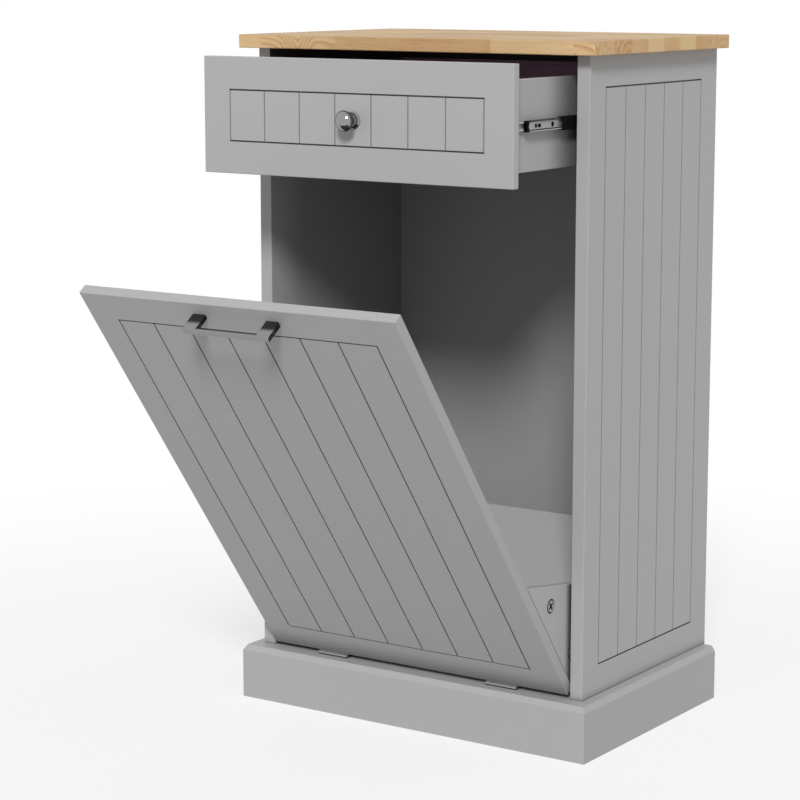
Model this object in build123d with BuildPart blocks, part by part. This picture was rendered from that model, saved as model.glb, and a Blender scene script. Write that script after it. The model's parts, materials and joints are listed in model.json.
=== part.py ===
from build123d import *
import os
from math import atan2, cos, radians, sin

os.makedirs("parts", exist_ok=True)

# Kitchen trash cabinet with a tilt-out door, a bin tray and a drawer.
# Millimetres. X to the right, Y to the rear, Z up. The origin is the middle of the front plinth
# board's underside, on the floor. The rest pose is the door open on its stops and the drawer part open.

# Body
height = 900.0  # floor to the worktop's upper face
body_width = 503.0  # over the outer faces of the side panels
body_depth = 334.0  # front edge to rear edge of the side panels
side_t = 18.0
arris = 1.0  # easing on the edges of painted boards
bottom_t = 18.0
back_t = 12.0
back_inset = 15.5  # rear of the back boards to the rear edge of the side panels
back_foot_z = 20.0  # lower edge of the lower back board, over the floor
back_split_above = 8.0  # joint between the two back boards, above the foot of the drawer front
back_cam_low, back_cam_high = 140.0, 60.0  # end cams of the lower back board from its foot and its top
bottom_cam_edge = 60.0  # cams of the bottom from its front and rear edges
top_rail_t = 18.0
top_rail_h = 27.0

# Worktop
top_t = 17.5
top_side_overhang = 17.5
top_front_overhang = 21.0
top_arris = 1.5

# Plinth
plinth_h = 73.0
plinth_side_t = 18.0
plinth_front_t = 25.0
plinth_rear_short = 3.5  # the side boards stop this far before the body's rear
plinth_chamfer_h = 7.5
plinth_chamfer_d = 5.0
plinth_arris = 0.6
plinth_screw_front, plinth_screw_rear = 110.0, 70.0  # side screws from the body's front and rear
block_w = 22.0
block_h = 45.0
block_screw_edge = 11.5  # screws from a block's ends

# Bead grooves
groove_w = 2.0
groove_d = 3.4
front_margin = 41.5  # edge of a door or drawer front to the groove round its panel
front_beads = 7
side_margin_z = 40.0
side_margin_y = 40.0
side_beads = 5
side_bead_w = 50.0

# Door, drawer front and their gaps
reveal = 2.5  # at each side of the door and the drawer front
drawer_top_gap = 6.0
drawer_front_h = 147.3
front_joint = 2.2  # between the drawer front and the door
door_bottom_gap = 3.0
door_t = 14.0
drawer_front_t = 12.0

# Hinges at the door's foot
door_open = 36.6  # degrees from closed, in the photograph and on the stops
knuckle_r = 2.2
knuckle_forward = 3.4  # knuckle centre ahead of the door's face when closed
knuckle_lift = 0.1  # knuckle over the plinth
pin_r = 1.0
leaf_t = 1.0
leaf_w = 46.0
leaf_reach = 12.0  # how far a leaf runs behind the door's closed face
knuckle_w = 15.4  # the middle knuckle, which moves
knuckle_gap = 0.3
hinge_x = 133.0
leaf_screw_pitch = 15.0
leaf_screw_back = 1.0  # screws behind the middle of a leaf's run on the board

# Tray on the door's back
gusset_t = 12.0
gusset_inset = 0.3  # gusset's outer face inside the door's edge
gusset_foot = 2.0  # gusset's lower edge over the door's lower edge
gusset_top = 189.0  # gusset's top over the door's lower edge
gusset_rail = 50.0  # top of its low rear part over the door's lower edge
tray_reach = 256.0  # tray behind the door's back
tray_floor_t = 12.0
tray_floor_top = 28.0  # over the door's lower edge
gusset_cam_low = 38.7  # lower cam over the door's lower edge
gusset_cam_high = 62.4  # upper cam below the gusset's top
floor_screw_front, floor_screw_rear = 110.0, 30.0  # from the door's back and from the tray's end

# Stops for the tray
stop_l = 32.0
stop_h = 18.0
stop_over = 12.7  # how far a stop reaches over the gusset's rail
stop_clear = 0.3
stop_from_end = 6.0

# Pull handle
handle_half = 63.5
handle_leg = 19.0
handle_reach = 28.0
handle_bar = 5.0
handle_t = 6.5
handle_below_top = 17.0
handle_arris = 0.7
handle_corner = 2.5

# Drawer box
slide_space = 13.1  # drawer side to side panel
box_t = 12.0
box_h = 110.5
box_above_front_foot = 17.0
drawer_cam_low, drawer_cam_high = 28.0, 24.0  # cams from the lower and upper edges of the drawer sides
box_back_drop = 18.0  # upper edge of the drawer back below that of its sides
back_screw_edge = 24.0  # screws from the lower and upper edges of the drawer back
box_len = 270.0
box_arris = 0.8
ply_t = 4.0
ply_groove = 6.0
ply_up = 10.0  # drawer bottom over the lower edge of the drawer sides
drawer_out = 142.0  # how far the drawer is out at rest

# Knob
knob_head_r = 13.0
knob_base_r = 11.2
knob_neck_r = 6.8
knob_base_t = 2.6
knob_rim_at = 18.9
knob_rim_rear, knob_rim_front = 1.4, 1.5  # the rolled rim behind and ahead of its widest place
knob_rim_fall = 0.7
knob_foot_bow_d, knob_foot_bow_r = 0.8, 0.9  # hollow of the foot's curve
knob_neck_bow_d, knob_neck_bow_r = 0.9, 1.6  # hollow of the curve under the head
knob_reach = 27.0

# Ball slides, sizes from the slide's centre line and from the drawer side
slide_len = 250.0
slide_behind = 2.0  # cabinet member behind the closed drawer front
slide_metal = 1.0
inner_half_h = 4.8
inner_flange = 5.4
run_gap = 0.4
middle_flange_t = 1.4
middle_web_x = 6.8
middle_flange_x = (2.6, 10.2)
cabinet_lip = 1.0  # the cabinet member's flanges start this far outside the middle member's
cage_lip = 2.0
ball_off = 1.0  # balls outside the middle of the flange
front_slot_d, front_slot_l = 17.5, 4.4  # slots and hole of the middle member, from its bumper
rear_slot_d, rear_slot_l = 25.4, 6.4
slot_h = 3.2
web_hole_d, web_hole_r = 56.0, 2.6
ball_r = 0.8
ball_clear = 0.3
cage_t = 1.0
cage_gap = 0.3
cage_len = 96.0
cage_behind = 19.5  # cage behind the closed drawer front
balls_in_row = 8
bumper_l = 7.5
bumper_t = 4.0
bumper_waist = 3.6
middle_ratio = 0.877  # travel of the middle member for the drawer's travel
cage_ratio = middle_ratio / 2
middle_behind = 0.7
slide_screw_at = (30.0, 120.0, 220.0)

# Fasteners
fit = 0.05  # radial room of a screw, dowel or pin in its hole
slide_head_r, slide_head_h, slide_shank_r, slide_screw_l = 2.9, 0.9, 1.6, 9.0
leaf_head_r, leaf_head_h, leaf_shank_r, leaf_screw_l = 2.4, 0.9, 1.4, 11.0
wood_head_r, wood_head_h, wood_shank_r, wood_screw_l = 4.0, 2.6, 2.0, 30.0
stop_screw_short = 5.5  # wood left past the point of a stop's screw
handle_screw_r, handle_head_r, handle_head_h, handle_thread = 2.0, 4.0, 2.2, 13.0
drive_slot_l, drive_slot_w, drive_slot_d = 4.8, 0.9, 1.2
dowel_r, dowel_l, dowel_up = 4.0, 30.0, 12.0
dowel_edge = 45.0  # dowels from the body's front and rear
cam_r, cam_depth, cam_slot_l, cam_slot_w, cam_slot_d = 9.0, 10.0, 10.4, 2.1, 3.0
cam_room = 0.5  # ring of air round a cam lock
cam_in = 26.0  # cam centre from the board's edge
cam_bolt_r, cam_bolt_in = 3.0, 8.0
cam_slot_turn = 8.4  # turn of the cross slots about the lock's axis

# Places that follow from the sizes above
front = plinth_front_t / 2
rear = front + body_depth
x_out = body_width / 2
x_in = x_out - side_t
under_top = height - top_t
back_y = rear - back_inset - back_t
drawer_top = under_top - drawer_top_gap
drawer_foot = drawer_top - drawer_front_h
door_top = drawer_foot - front_joint
door_foot = plinth_h + door_bottom_gap
door_back = front + door_t
front_x = x_in - reveal
hinge_y = front - knuckle_forward
hinge_z = plinth_h + knuckle_r + knuckle_lift
back_split_z = drawer_foot + back_split_above
gusset_x = front_x - gusset_inset
stop_x_in = gusset_x - stop_over
stop_screw_l = x_out - stop_screw_short - stop_x_in
tray_end = door_back + tray_reach
box_x = x_in - slide_space
box_front = front + drawer_front_t
box_end = box_front + box_len
box_foot = drawer_foot + box_above_front_foot
box_top = box_foot + box_h
box_back_top = box_top - box_back_drop
slide_z = (box_foot + box_top) / 2
middle_half_h = inner_half_h + run_gap + middle_flange_t
outer_half_h = middle_half_h + 2 * ball_clear + 2 * ball_r
ply_z = box_foot + ply_up
cam_room_r = cam_r + cam_room
middle_y = box_front + middle_behind
door_sin, door_cos = sin(radians(door_open)), cos(radians(door_open))

# The frames of the moving bodies. Each piece is drawn where it lies with everything closed.
door_frame = Plane(
    origin=(0, hinge_y - hinge_y * door_cos + hinge_z * door_sin,
            hinge_z - hinge_y * door_sin - hinge_z * door_cos),
    x_dir=(1, 0, 0), z_dir=(0, -door_sin, door_cos))
drawer_frame = Plane.XY.shift_origin((0, -drawer_out, 0))
middle_frame = Plane.XY.shift_origin((0, -drawer_out * middle_ratio, 0))
cage_frame = Plane.XY.shift_origin((0, -drawer_out * cage_ratio, 0))

SIDES = (-1, 1)
HEAD = (Align.CENTER, Align.CENTER, Align.MAX)
UP, DOWN, RIGHT, LEFT, FORWARD, BACK = (
    (0, 0, 0), (180, 0, 0), (0, 90, 0), (0, -90, 0), (90, 0, 0), (-90, 0, 0))


def outwards(side):
    """Turn that points a fastener's head away from the middle on the given side."""
    return RIGHT if side > 0 else LEFT


def board(x, y, z, ease=arris):
    """Board between pairs of faces, with its arrises eased."""
    with Locations(((x[0] + x[1]) / 2, (y[0] + y[1]) / 2, (z[0] + z[1]) / 2)):
        Box(x[1] - x[0], y[1] - y[0], z[1] - z[0])
    fillet(edges(), radius=ease)


def cut_box(x, y, z):
    """Rectangular recess between pairs of faces."""
    with Locations(((x[0] + x[1]) / 2, (y[0] + y[1]) / 2, (z[0] + z[1]) / 2)):
        Box(x[1] - x[0], y[1] - y[0], z[1] - z[0], mode=Mode.SUBTRACT)


def groove(middle, length, along, face):
    """Square groove of a bead panel: its middle line on the face, its run and the face's normal as axes."""
    size = [groove_w, groove_w, groove_w]
    size["XYZ".index(along)] = length
    size["XYZ".index(face)] = 2 * groove_d
    with Locations(middle):
        Box(*size, mode=Mode.SUBTRACT)


def countersunk(places, head_r, head_h, shank_r, length, room=0.0, mode=Mode.ADD):
    """Countersunk screws with their heads flush at the given places, or their holes."""
    with Locations(*places):
        Cylinder(shank_r + room, length + room, align=HEAD, mode=mode)
        Cone(shank_r + room, head_r + room, head_h, align=HEAD, mode=mode)


def rod(places, radius, length, mode=Mode.ADD):
    """Plain rods or holes that start at the given places and run inwards."""
    with Locations(*places):
        Cylinder(radius, length, align=HEAD, mode=mode)


def cam_locks(places):
    """Cam locks: discs with a cross slot, faces flush at the given places."""
    with Locations(*places):
        Cylinder(cam_r, cam_depth, align=HEAD)
    with Locations(*[place * Location((0, 0, 0), (0, 0, cam_slot_turn)) for place in places]):
        Box(cam_slot_l, cam_slot_w, cam_slot_d, align=HEAD, mode=Mode.SUBTRACT)
        Box(cam_slot_w, cam_slot_l, cam_slot_d, align=HEAD, mode=Mode.SUBTRACT)


def drive_slots(places):
    """Cross slots in the heads at the given places."""
    with Locations(*places):
        Box(drive_slot_l, drive_slot_w, drive_slot_d, align=HEAD, mode=Mode.SUBTRACT)
        Box(drive_slot_w, drive_slot_l, drive_slot_d, align=HEAD, mode=Mode.SUBTRACT)


def on_right(places):
    """Those of the places that are on the cabinet's right side."""
    return [place for place in places if place.position.X > 0]


def mirrored(piece):
    """The same piece on the cabinet's other side."""
    with BuildPart() as other:
        mirror(piece.part, about=Plane.YZ)
    return other


def save(piece, name):
    """Labels a finished piece and writes it."""
    piece.part.label = name
    export_step(piece.part, f"parts/{name}.step")


# Fastener places of the body, one list per kind
bottom_z = (plinth_h - bottom_t, plinth_h)
bottom_mid = plinth_h - bottom_t / 2
bottom_cam_y = (front + bottom_cam_edge, back_y - bottom_cam_edge)
back_low, back_high = back_foot_z + back_cam_low, back_split_z - back_cam_high
board_rows = (back_low, (back_low + back_high) / 2, back_high)
bay_row = (back_split_z + under_top - top_rail_h) / 2
rail_z = under_top - top_rail_h / 2
back_mid = back_y + back_t / 2
rail_mid = back_y + top_rail_t / 2

body_cams = [Location((s * (x_in - cam_in), y, bottom_z[0]), DOWN) for s in SIDES for y in bottom_cam_y]
board_cams = [Location((s * (x_in - cam_in), back_y + back_t, z), BACK) for s in SIDES for z in board_rows]
bay_cams = [Location((s * (x_in - cam_in), back_y + back_t, bay_row), BACK) for s in SIDES]
rail_cams = [Location((s * (x_in - cam_in), back_y + top_rail_t, rail_z), BACK) for s in SIDES]
bolt_rows = ([(y, bottom_mid) for y in bottom_cam_y] + [(back_mid, z) for z in (*board_rows, bay_row)]
             + [(rail_mid, rail_z)])
bolt_l = cam_bolt_in + cam_in - cam_room_r
top_dowels = [Location((s * (x_out - side_t / 2), y, under_top + dowel_up), UP)
              for s in SIDES for y in (front + dowel_edge, rear - dowel_edge)]
top_screws = [Location((s * x_in / 2, rail_mid, under_top - top_rail_h), DOWN) for s in SIDES]
plinth_side_screws = [Location((s * x_in, y, plinth_h / 2), outwards(-s))
                      for s in SIDES for y in (front + plinth_screw_front, rear - plinth_screw_rear)]
block_screws = [Location((s * (x_in - block_w / 2), front + block_w, z), BACK)
                for s in SIDES for z in (block_screw_edge, block_h - block_screw_edge)]
block_side_screws = [Location((s * (x_in - block_w), front + block_w / 2, block_h / 2), outwards(-s))
                     for s in SIDES]
leaf_screw_y = front + leaf_reach / 2 + leaf_screw_back
leaf_screws = [Location((s * hinge_x + k * leaf_screw_pitch, leaf_screw_y, plinth_h + leaf_t), UP)
               for s in SIDES for k in (-1, 0, 1)]
door_leaf_screws = [Location((s * hinge_x + k * leaf_screw_pitch, leaf_screw_y, door_foot - leaf_t), DOWN)
                    for s in SIDES for k in (-1, 0, 1)]
cabinet_slide_screws = [Location((s * (x_in - slide_metal), box_front + slide_behind + y, slide_z), outwards(-s))
                        for s in SIDES for y in slide_screw_at]

# Side panels, with bead grooves on the outer face
stop_y = (tray_end - stop_from_end - stop_l, tray_end - stop_from_end)
stop_z = (door_foot + gusset_rail + stop_clear, door_foot + gusset_rail + stop_clear + stop_h)
stop_mid = (sum(stop_y) / 2, sum(stop_z) / 2)
stop_screws = [Location((s * stop_x_in, y, stop_mid[1]), outwards(-s))
               for s in SIDES for y in (stop_mid[0] - stop_l / 4, stop_mid[0] + stop_l / 4)]

groove_z = (plinth_h + side_margin_z, under_top - side_margin_z)
groove_y = (front + side_margin_y, front + side_margin_y + side_beads * side_bead_w)

with BuildPart() as side_panel_right:
    board((x_in, x_out), (front, rear), (0, under_top))
    for i in range(side_beads + 1):
        groove((x_out, groove_y[0] + i * side_bead_w, sum(groove_z) / 2), groove_z[1] - groove_z[0], "Z", "X")
    for z in groove_z:
        groove((x_out, sum(groove_y) / 2, z), groove_y[1] - groove_y[0] + groove_w, "Y", "X")
    rod([Location((x_in + cam_bolt_in, y, z), RIGHT) for y, z in bolt_rows], cam_bolt_r + fit,
        cam_bolt_in, mode=Mode.SUBTRACT)
    rod(on_right(top_dowels), dowel_r + fit, dowel_l, mode=Mode.SUBTRACT)
    countersunk(on_right(plinth_side_screws + block_side_screws), wood_head_r, wood_head_h, wood_shank_r,
                wood_screw_l, fit, Mode.SUBTRACT)
    countersunk(on_right(cabinet_slide_screws), slide_head_r, slide_head_h, slide_shank_r, slide_screw_l, fit,
                Mode.SUBTRACT)
    with Locations(door_frame):
        with Locations(*on_right(stop_screws)):
            Cylinder(wood_shank_r + fit, stop_screw_l + fit, align=HEAD, mode=Mode.SUBTRACT)
save(side_panel_right, "side_panel_right")
save(mirrored(side_panel_right), "side_panel_left")

# Bottom, back boards and top rail
with BuildPart() as bottom_panel:
    board((-x_in, x_in), (front, back_y), bottom_z)
    rod(body_cams, cam_room_r, cam_depth, mode=Mode.SUBTRACT)
    rod([Location((s * x_in, y, bottom_mid), outwards(s)) for s in SIDES for y in bottom_cam_y],
        cam_bolt_r + fit, cam_in, mode=Mode.SUBTRACT)
    countersunk(leaf_screws, leaf_head_r, leaf_head_h, leaf_shank_r, leaf_screw_l, fit, Mode.SUBTRACT)
save(bottom_panel, "bottom_panel")

with BuildPart() as back_board:
    board((-x_in, x_in), (back_y, back_y + back_t), (back_foot_z, back_split_z))
    rod(board_cams, cam_room_r, cam_depth, mode=Mode.SUBTRACT)
    rod([Location((s * x_in, back_mid, z), outwards(s)) for s in SIDES for z in board_rows],
        cam_bolt_r + fit, cam_in, mode=Mode.SUBTRACT)
save(back_board, "back_board")

with BuildPart() as drawer_bay_back:
    board((-x_in, x_in), (back_y, back_y + back_t), (back_split_z, under_top - top_rail_h))
    rod(bay_cams, cam_room_r, cam_depth, mode=Mode.SUBTRACT)
    rod([Location((s * x_in, back_mid, bay_row), outwards(s)) for s in SIDES], cam_bolt_r + fit, cam_in,
        mode=Mode.SUBTRACT)
save(drawer_bay_back, "drawer_bay_back")

with BuildPart() as top_rail:
    board((-x_in, x_in), (back_y, back_y + top_rail_t), (under_top - top_rail_h, under_top))
    rod(rail_cams, cam_room_r, cam_depth, mode=Mode.SUBTRACT)
    rod([Location((s * x_in, rail_mid, rail_z), outwards(s)) for s in SIDES], cam_bolt_r + fit, cam_in,
        mode=Mode.SUBTRACT)
    countersunk(top_screws, wood_head_r, wood_head_h, wood_shank_r, wood_screw_l, fit, Mode.SUBTRACT)
save(top_rail, "top_rail")

with BuildPart() as body_cam_locks:
    cam_locks(body_cams + board_cams + bay_cams + rail_cams)
save(body_cam_locks, "body_cam_locks")

with BuildPart() as body_cam_bolts:
    rod([Location((s * (x_in + cam_bolt_in), y, z), outwards(s)) for s in SIDES for y, z in bolt_rows],
        cam_bolt_r, bolt_l)
save(body_cam_bolts, "body_cam_bolts")

# Worktop, its dowels and screws
with BuildPart() as worktop:
    board((-x_out - top_side_overhang, x_out + top_side_overhang), (front - top_front_overhang, rear),
          (under_top, height), top_arris)
    rod(top_dowels, dowel_r + fit, dowel_up + fit, mode=Mode.SUBTRACT)
    countersunk(top_screws, wood_head_r, wood_head_h, wood_shank_r, wood_screw_l, fit, Mode.SUBTRACT)
save(worktop, "worktop")

with BuildPart() as worktop_dowels:
    rod(top_dowels, dowel_r, dowel_l)
save(worktop_dowels, "worktop_dowels")

with BuildPart() as worktop_screws:
    countersunk(top_screws, wood_head_r, wood_head_h, wood_shank_r, wood_screw_l)
save(worktop_screws, "worktop_screws")

# Plinth: three boards mitred at the front corners, with one chamfer round the outer top edge
plinth_x = x_out + plinth_side_t
plinth_y = front - plinth_front_t
mitre_y = plinth_y + plinth_side_t
plinth_end = rear - plinth_rear_short

with BuildPart() as plinth_front:
    with BuildSketch(Plane.XY):
        with BuildLine():
            Polyline((-plinth_x, plinth_y), (plinth_x, plinth_y), (x_out, mitre_y), (x_out, front),
                     (-x_out, front), (-x_out, mitre_y), close=True)
        make_face()
    extrude(amount=plinth_h)
    outer_face = plinth_front.faces().sort_by(Axis.Y)[0]
    chamfer(outer_face.edges().sort_by(Axis.Z)[-1], length=plinth_chamfer_h, length2=plinth_chamfer_d,
            reference=outer_face)
    countersunk(block_screws, wood_head_r, wood_head_h, wood_shank_r, wood_screw_l, fit, Mode.SUBTRACT)
save(plinth_front, "plinth_front")

with BuildPart() as plinth_right:
    with BuildSketch(Plane.XY):
        with BuildLine():
            Polyline((plinth_x, plinth_y), (plinth_x, plinth_end), (x_out, plinth_end), (x_out, mitre_y),
                     close=True)
        make_face()
    extrude(amount=plinth_h)
    outer_face = plinth_right.faces().sort_by(Axis.X)[-1]
    chamfer(outer_face.edges().sort_by(Axis.Z)[-1], length=plinth_chamfer_h, length2=plinth_chamfer_d,
            reference=outer_face)
    fillet(plinth_right.faces().sort_by(Axis.Y)[-1].edges(), radius=plinth_arris)
    countersunk(on_right(plinth_side_screws), wood_head_r, wood_head_h, wood_shank_r, wood_screw_l, fit,
                Mode.SUBTRACT)
save(plinth_right, "plinth_right")
save(mirrored(plinth_right), "plinth_left")

with BuildPart() as plinth_blocks:
    for s in SIDES:
        with Locations((s * (x_in - block_w / 2), front + block_w / 2, block_h / 2)):
            Box(block_w, block_w, block_h)
    chamfer(plinth_blocks.edges().filter_by(Axis.Z), length=arris)
    for places in (block_screws, block_side_screws):
        countersunk(places, wood_head_r, wood_head_h, wood_shank_r, wood_screw_l, fit, Mode.SUBTRACT)
save(plinth_blocks, "plinth_blocks")

with BuildPart() as plinth_screws:
    countersunk(plinth_side_screws + block_screws + block_side_screws, wood_head_r, wood_head_h, wood_shank_r,
                wood_screw_l)
save(plinth_screws, "plinth_screws")

# Butt hinges at the door's foot: fixed leaves on the plinth, moving leaves under the door
knuckle_split = (knuckle_w / 2 + knuckle_gap, leaf_w / 2)


def leaf(z, knuckles):
    """Hinge leaf at height z with its knuckles round the pin, for both hinges."""
    for s in SIDES:
        with Locations((s * hinge_x, (hinge_y + front + leaf_reach) / 2, z + leaf_t / 2)):
            Box(leaf_w, front + leaf_reach - hinge_y, leaf_t)
        for x0, x1 in knuckles:
            with Locations(Location((s * hinge_x + (x0 + x1) / 2, hinge_y, hinge_z), RIGHT)):
                Cylinder(knuckle_r, x1 - x0)


def clear_knuckles(gaps):
    """Takes a leaf away beside the knuckles of the other leaf."""
    for s in SIDES:
        for x0, x1 in gaps:
            with Locations(Location((s * hinge_x + (x0 + x1) / 2, hinge_y, hinge_z), RIGHT)):
                Cylinder(knuckle_r + knuckle_gap, x1 - x0, mode=Mode.SUBTRACT)
        with Locations(Location((s * hinge_x, hinge_y, hinge_z), RIGHT)):
            Cylinder(pin_r + fit, leaf_w, mode=Mode.SUBTRACT)


with BuildPart() as hinge_fixed_leaves:
    leaf(plinth_h, [(-knuckle_split[1], -knuckle_split[0]), knuckle_split])
    clear_knuckles([(-knuckle_split[0], knuckle_split[0])])
    countersunk(leaf_screws, leaf_head_r, leaf_head_h, leaf_shank_r, leaf_screw_l, fit, Mode.SUBTRACT)
save(hinge_fixed_leaves, "hinge_fixed_leaves")

with BuildPart() as hinge_pins:
    for s in SIDES:
        with Locations(Location((s * hinge_x, hinge_y, hinge_z), RIGHT)):
            Cylinder(pin_r, leaf_w)
save(hinge_pins, "hinge_pins")

with BuildPart() as hinge_fixed_screws:
    countersunk(leaf_screws, leaf_head_r, leaf_head_h, leaf_shank_r, leaf_screw_l)
save(hinge_fixed_screws, "hinge_fixed_screws")

with BuildPart(door_frame) as hinge_moving_leaves:
    leaf(door_foot - leaf_t, [(-knuckle_w / 2, knuckle_w / 2)])
    clear_knuckles([(-leaf_w / 2 - knuckle_gap, -knuckle_w / 2), (knuckle_w / 2, leaf_w / 2 + knuckle_gap)])
    countersunk(door_leaf_screws, leaf_head_r, leaf_head_h, leaf_shank_r, leaf_screw_l, fit, Mode.SUBTRACT)
save(hinge_moving_leaves, "hinge_moving_leaves")

with BuildPart(door_frame) as hinge_moving_screws:
    countersunk(door_leaf_screws, leaf_head_r, leaf_head_h, leaf_shank_r, leaf_screw_l)
save(hinge_moving_screws, "hinge_moving_screws")

# Door stops: blocks on the side panels that meet the tray's rear end when the door is open
with BuildPart(door_frame) as door_stops:
    for s in SIDES:
        with Locations((s * (stop_x_in + x_in) / 2, *stop_mid)):
            Box(x_in - stop_x_in, stop_l, stop_h)
    chamfer(door_stops.edges().filter_by(Axis.X), length=arris)
    countersunk(stop_screws, wood_head_r, wood_head_h, wood_shank_r, stop_screw_l, fit, Mode.SUBTRACT)
save(door_stops, "door_stops")

with BuildPart(door_frame) as door_stop_screws:
    countersunk(stop_screws, wood_head_r, wood_head_h, wood_shank_r, stop_screw_l)
save(door_stop_screws, "door_stop_screws")


# Door and drawer front: flat boards with a bead-grooved panel
def bead_front(z, thickness):
    """Board behind the body's front plane, with a groove frame and beads on its face."""
    board((-front_x, front_x), (front, front + thickness), z)
    half = front_x - front_margin
    low, high = z[0] + front_margin, z[1] - front_margin
    for i in range(front_beads + 1):
        groove((-half + i * 2 * half / front_beads, front, (low + high) / 2), high - low, "Z", "Y")
    for level in (low, high):
        groove((0, front, level), 2 * half + groove_w, "X", "Y")


handle_x = handle_half - handle_leg / 2
handle_z = door_top - handle_below_top - handle_t
gusset_cam_z = (door_foot + gusset_cam_low, door_foot + gusset_top - gusset_cam_high)
handle_screws_at = [Location((s * handle_x, door_back + handle_head_h, handle_z + handle_t / 2), BACK)
                    for s in SIDES]
handle_screw_l = handle_head_h + door_t + handle_thread

gusset_cams = [Location((s * gusset_x, door_back + cam_in, z), outwards(s)) for s in SIDES for z in gusset_cam_z]
gusset_bolts = [Location((s * (gusset_x - gusset_t / 2), door_back - cam_bolt_in, z), FORWARD)
                for s in SIDES for z in gusset_cam_z]
floor_screws_at = [Location((s * gusset_x, y, door_foot + tray_floor_top - tray_floor_t / 2), outwards(s))
                   for s in SIDES for y in (door_back + floor_screw_front, tray_end - floor_screw_rear)]

with BuildPart(door_frame) as door_panel:
    bead_front((door_foot, door_top), door_t)
    rod(handle_screws_at, handle_screw_r + fit, handle_screw_l, mode=Mode.SUBTRACT)
    rod(gusset_bolts, cam_bolt_r + fit, cam_bolt_in, mode=Mode.SUBTRACT)
    countersunk(door_leaf_screws, leaf_head_r, leaf_head_h, leaf_shank_r, leaf_screw_l, fit, Mode.SUBTRACT)
save(door_panel, "door_panel")

with BuildPart(door_frame) as pull_handle:
    with BuildSketch(door_frame.offset(handle_z)):
        with Locations((0, front - handle_reach / 2)):
            Rectangle(2 * handle_half, handle_reach)
        with Locations((0, front - (handle_reach - handle_bar) / 2)):
            Rectangle(2 * (handle_half - handle_leg), handle_reach - handle_bar, mode=Mode.SUBTRACT)
    extrude(amount=handle_t)
    uprights = pull_handle.edges().filter_by(lambda e: abs(e.length - handle_t) < 1e-6)
    outer = uprights.group_by(SortBy.DISTANCE)[-1]
    fillet(outer, radius=handle_corner)
    fillet(pull_handle.edges().filter_by(GeomType.LINE), radius=handle_arris)
    rod(handle_screws_at, handle_screw_r + fit, handle_screw_l + fit, mode=Mode.SUBTRACT)
save(pull_handle, "pull_handle")

with BuildPart(door_frame) as handle_screws:
    rod(handle_screws_at, handle_screw_r, handle_screw_l)
    rod(handle_screws_at, handle_head_r, handle_head_h)
    drive_slots(handle_screws_at)
save(handle_screws, "handle_screws")

# Bin tray on the door's back: two gussets and a floor, held by cam locks and screws
with BuildPart(door_frame) as tray_gusset_right:
    profile = Plane(origin=door_frame.from_local_coords((gusset_x - gusset_t, 0, 0)),
                    x_dir=door_frame.y_dir, z_dir=(1, 0, 0))
    with BuildSketch(profile):
        with BuildLine():
            Polyline((door_back, door_foot + gusset_foot), (tray_end, door_foot + gusset_foot),
                     (tray_end, door_foot + gusset_rail),
                     (door_back + gusset_top - gusset_rail, door_foot + gusset_rail),
                     (door_back, door_foot + gusset_top), close=True)
        make_face()
    extrude(amount=gusset_t)
    fillet(tray_gusset_right.edges(), radius=arris)
    rod(on_right(gusset_cams), cam_room_r, cam_depth, mode=Mode.SUBTRACT)
    rod(on_right(gusset_bolts), cam_bolt_r + fit, cam_bolt_in + cam_in, mode=Mode.SUBTRACT)
    countersunk(on_right(floor_screws_at), wood_head_r, wood_head_h, wood_shank_r, wood_screw_l, fit,
                Mode.SUBTRACT)
save(tray_gusset_right, "tray_gusset_right")
save(mirrored(tray_gusset_right), "tray_gusset_left")

with BuildPart(door_frame) as tray_floor:
    board((gusset_t - gusset_x, gusset_x - gusset_t), (door_back, tray_end),
          (door_foot + tray_floor_top - tray_floor_t, door_foot + tray_floor_top))
    countersunk(floor_screws_at, wood_head_r, wood_head_h, wood_shank_r, wood_screw_l, fit, Mode.SUBTRACT)
save(tray_floor, "tray_floor")

with BuildPart(door_frame) as tray_cam_locks:
    cam_locks(gusset_cams)
save(tray_cam_locks, "tray_cam_locks")

with BuildPart(door_frame) as tray_cam_bolts:
    rod(gusset_bolts, cam_bolt_r, bolt_l)
save(tray_cam_bolts, "tray_cam_bolts")

with BuildPart(door_frame) as tray_floor_screws:
    countersunk(floor_screws_at, wood_head_r, wood_head_h, wood_shank_r, wood_screw_l)
save(tray_floor_screws, "tray_floor_screws")

# Drawer
box_in = box_x - box_t
ply_x = box_in + ply_groove - fit
ply_y = (box_front - ply_groove + fit, box_end - box_t + ply_groove - fit)
drawer_cam_z = (box_foot + drawer_cam_low, box_top - drawer_cam_high)
drawer_cams_at = [Location((s * box_in, box_front + cam_in, z), outwards(-s)) for s in SIDES for z in drawer_cam_z]
drawer_bolts_at = [Location((s * (box_x - box_t / 2), box_front - cam_bolt_in, z), FORWARD)
                   for s in SIDES for z in drawer_cam_z]
back_screws_at = [Location((s * box_x, box_end - box_t / 2, z), outwards(s))
                  for s in SIDES for z in (box_foot + back_screw_edge, box_back_top - back_screw_edge)]
drawer_slide_screws_at = [Location((s * (box_x + slide_metal), box_front + y, slide_z), outwards(s))
                          for s in SIDES for y in slide_screw_at]
knob_z = (drawer_foot + drawer_top) / 2
knob_screw_at = [Location((0, box_front + handle_head_h, knob_z), BACK)]
knob_screw_l = handle_head_h + drawer_front_t + handle_thread


def ply_slot(x, y):
    """Groove that takes an edge of the drawer bottom."""
    cut_box(x, y, (ply_z - fit, ply_z + ply_t + fit))


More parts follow.
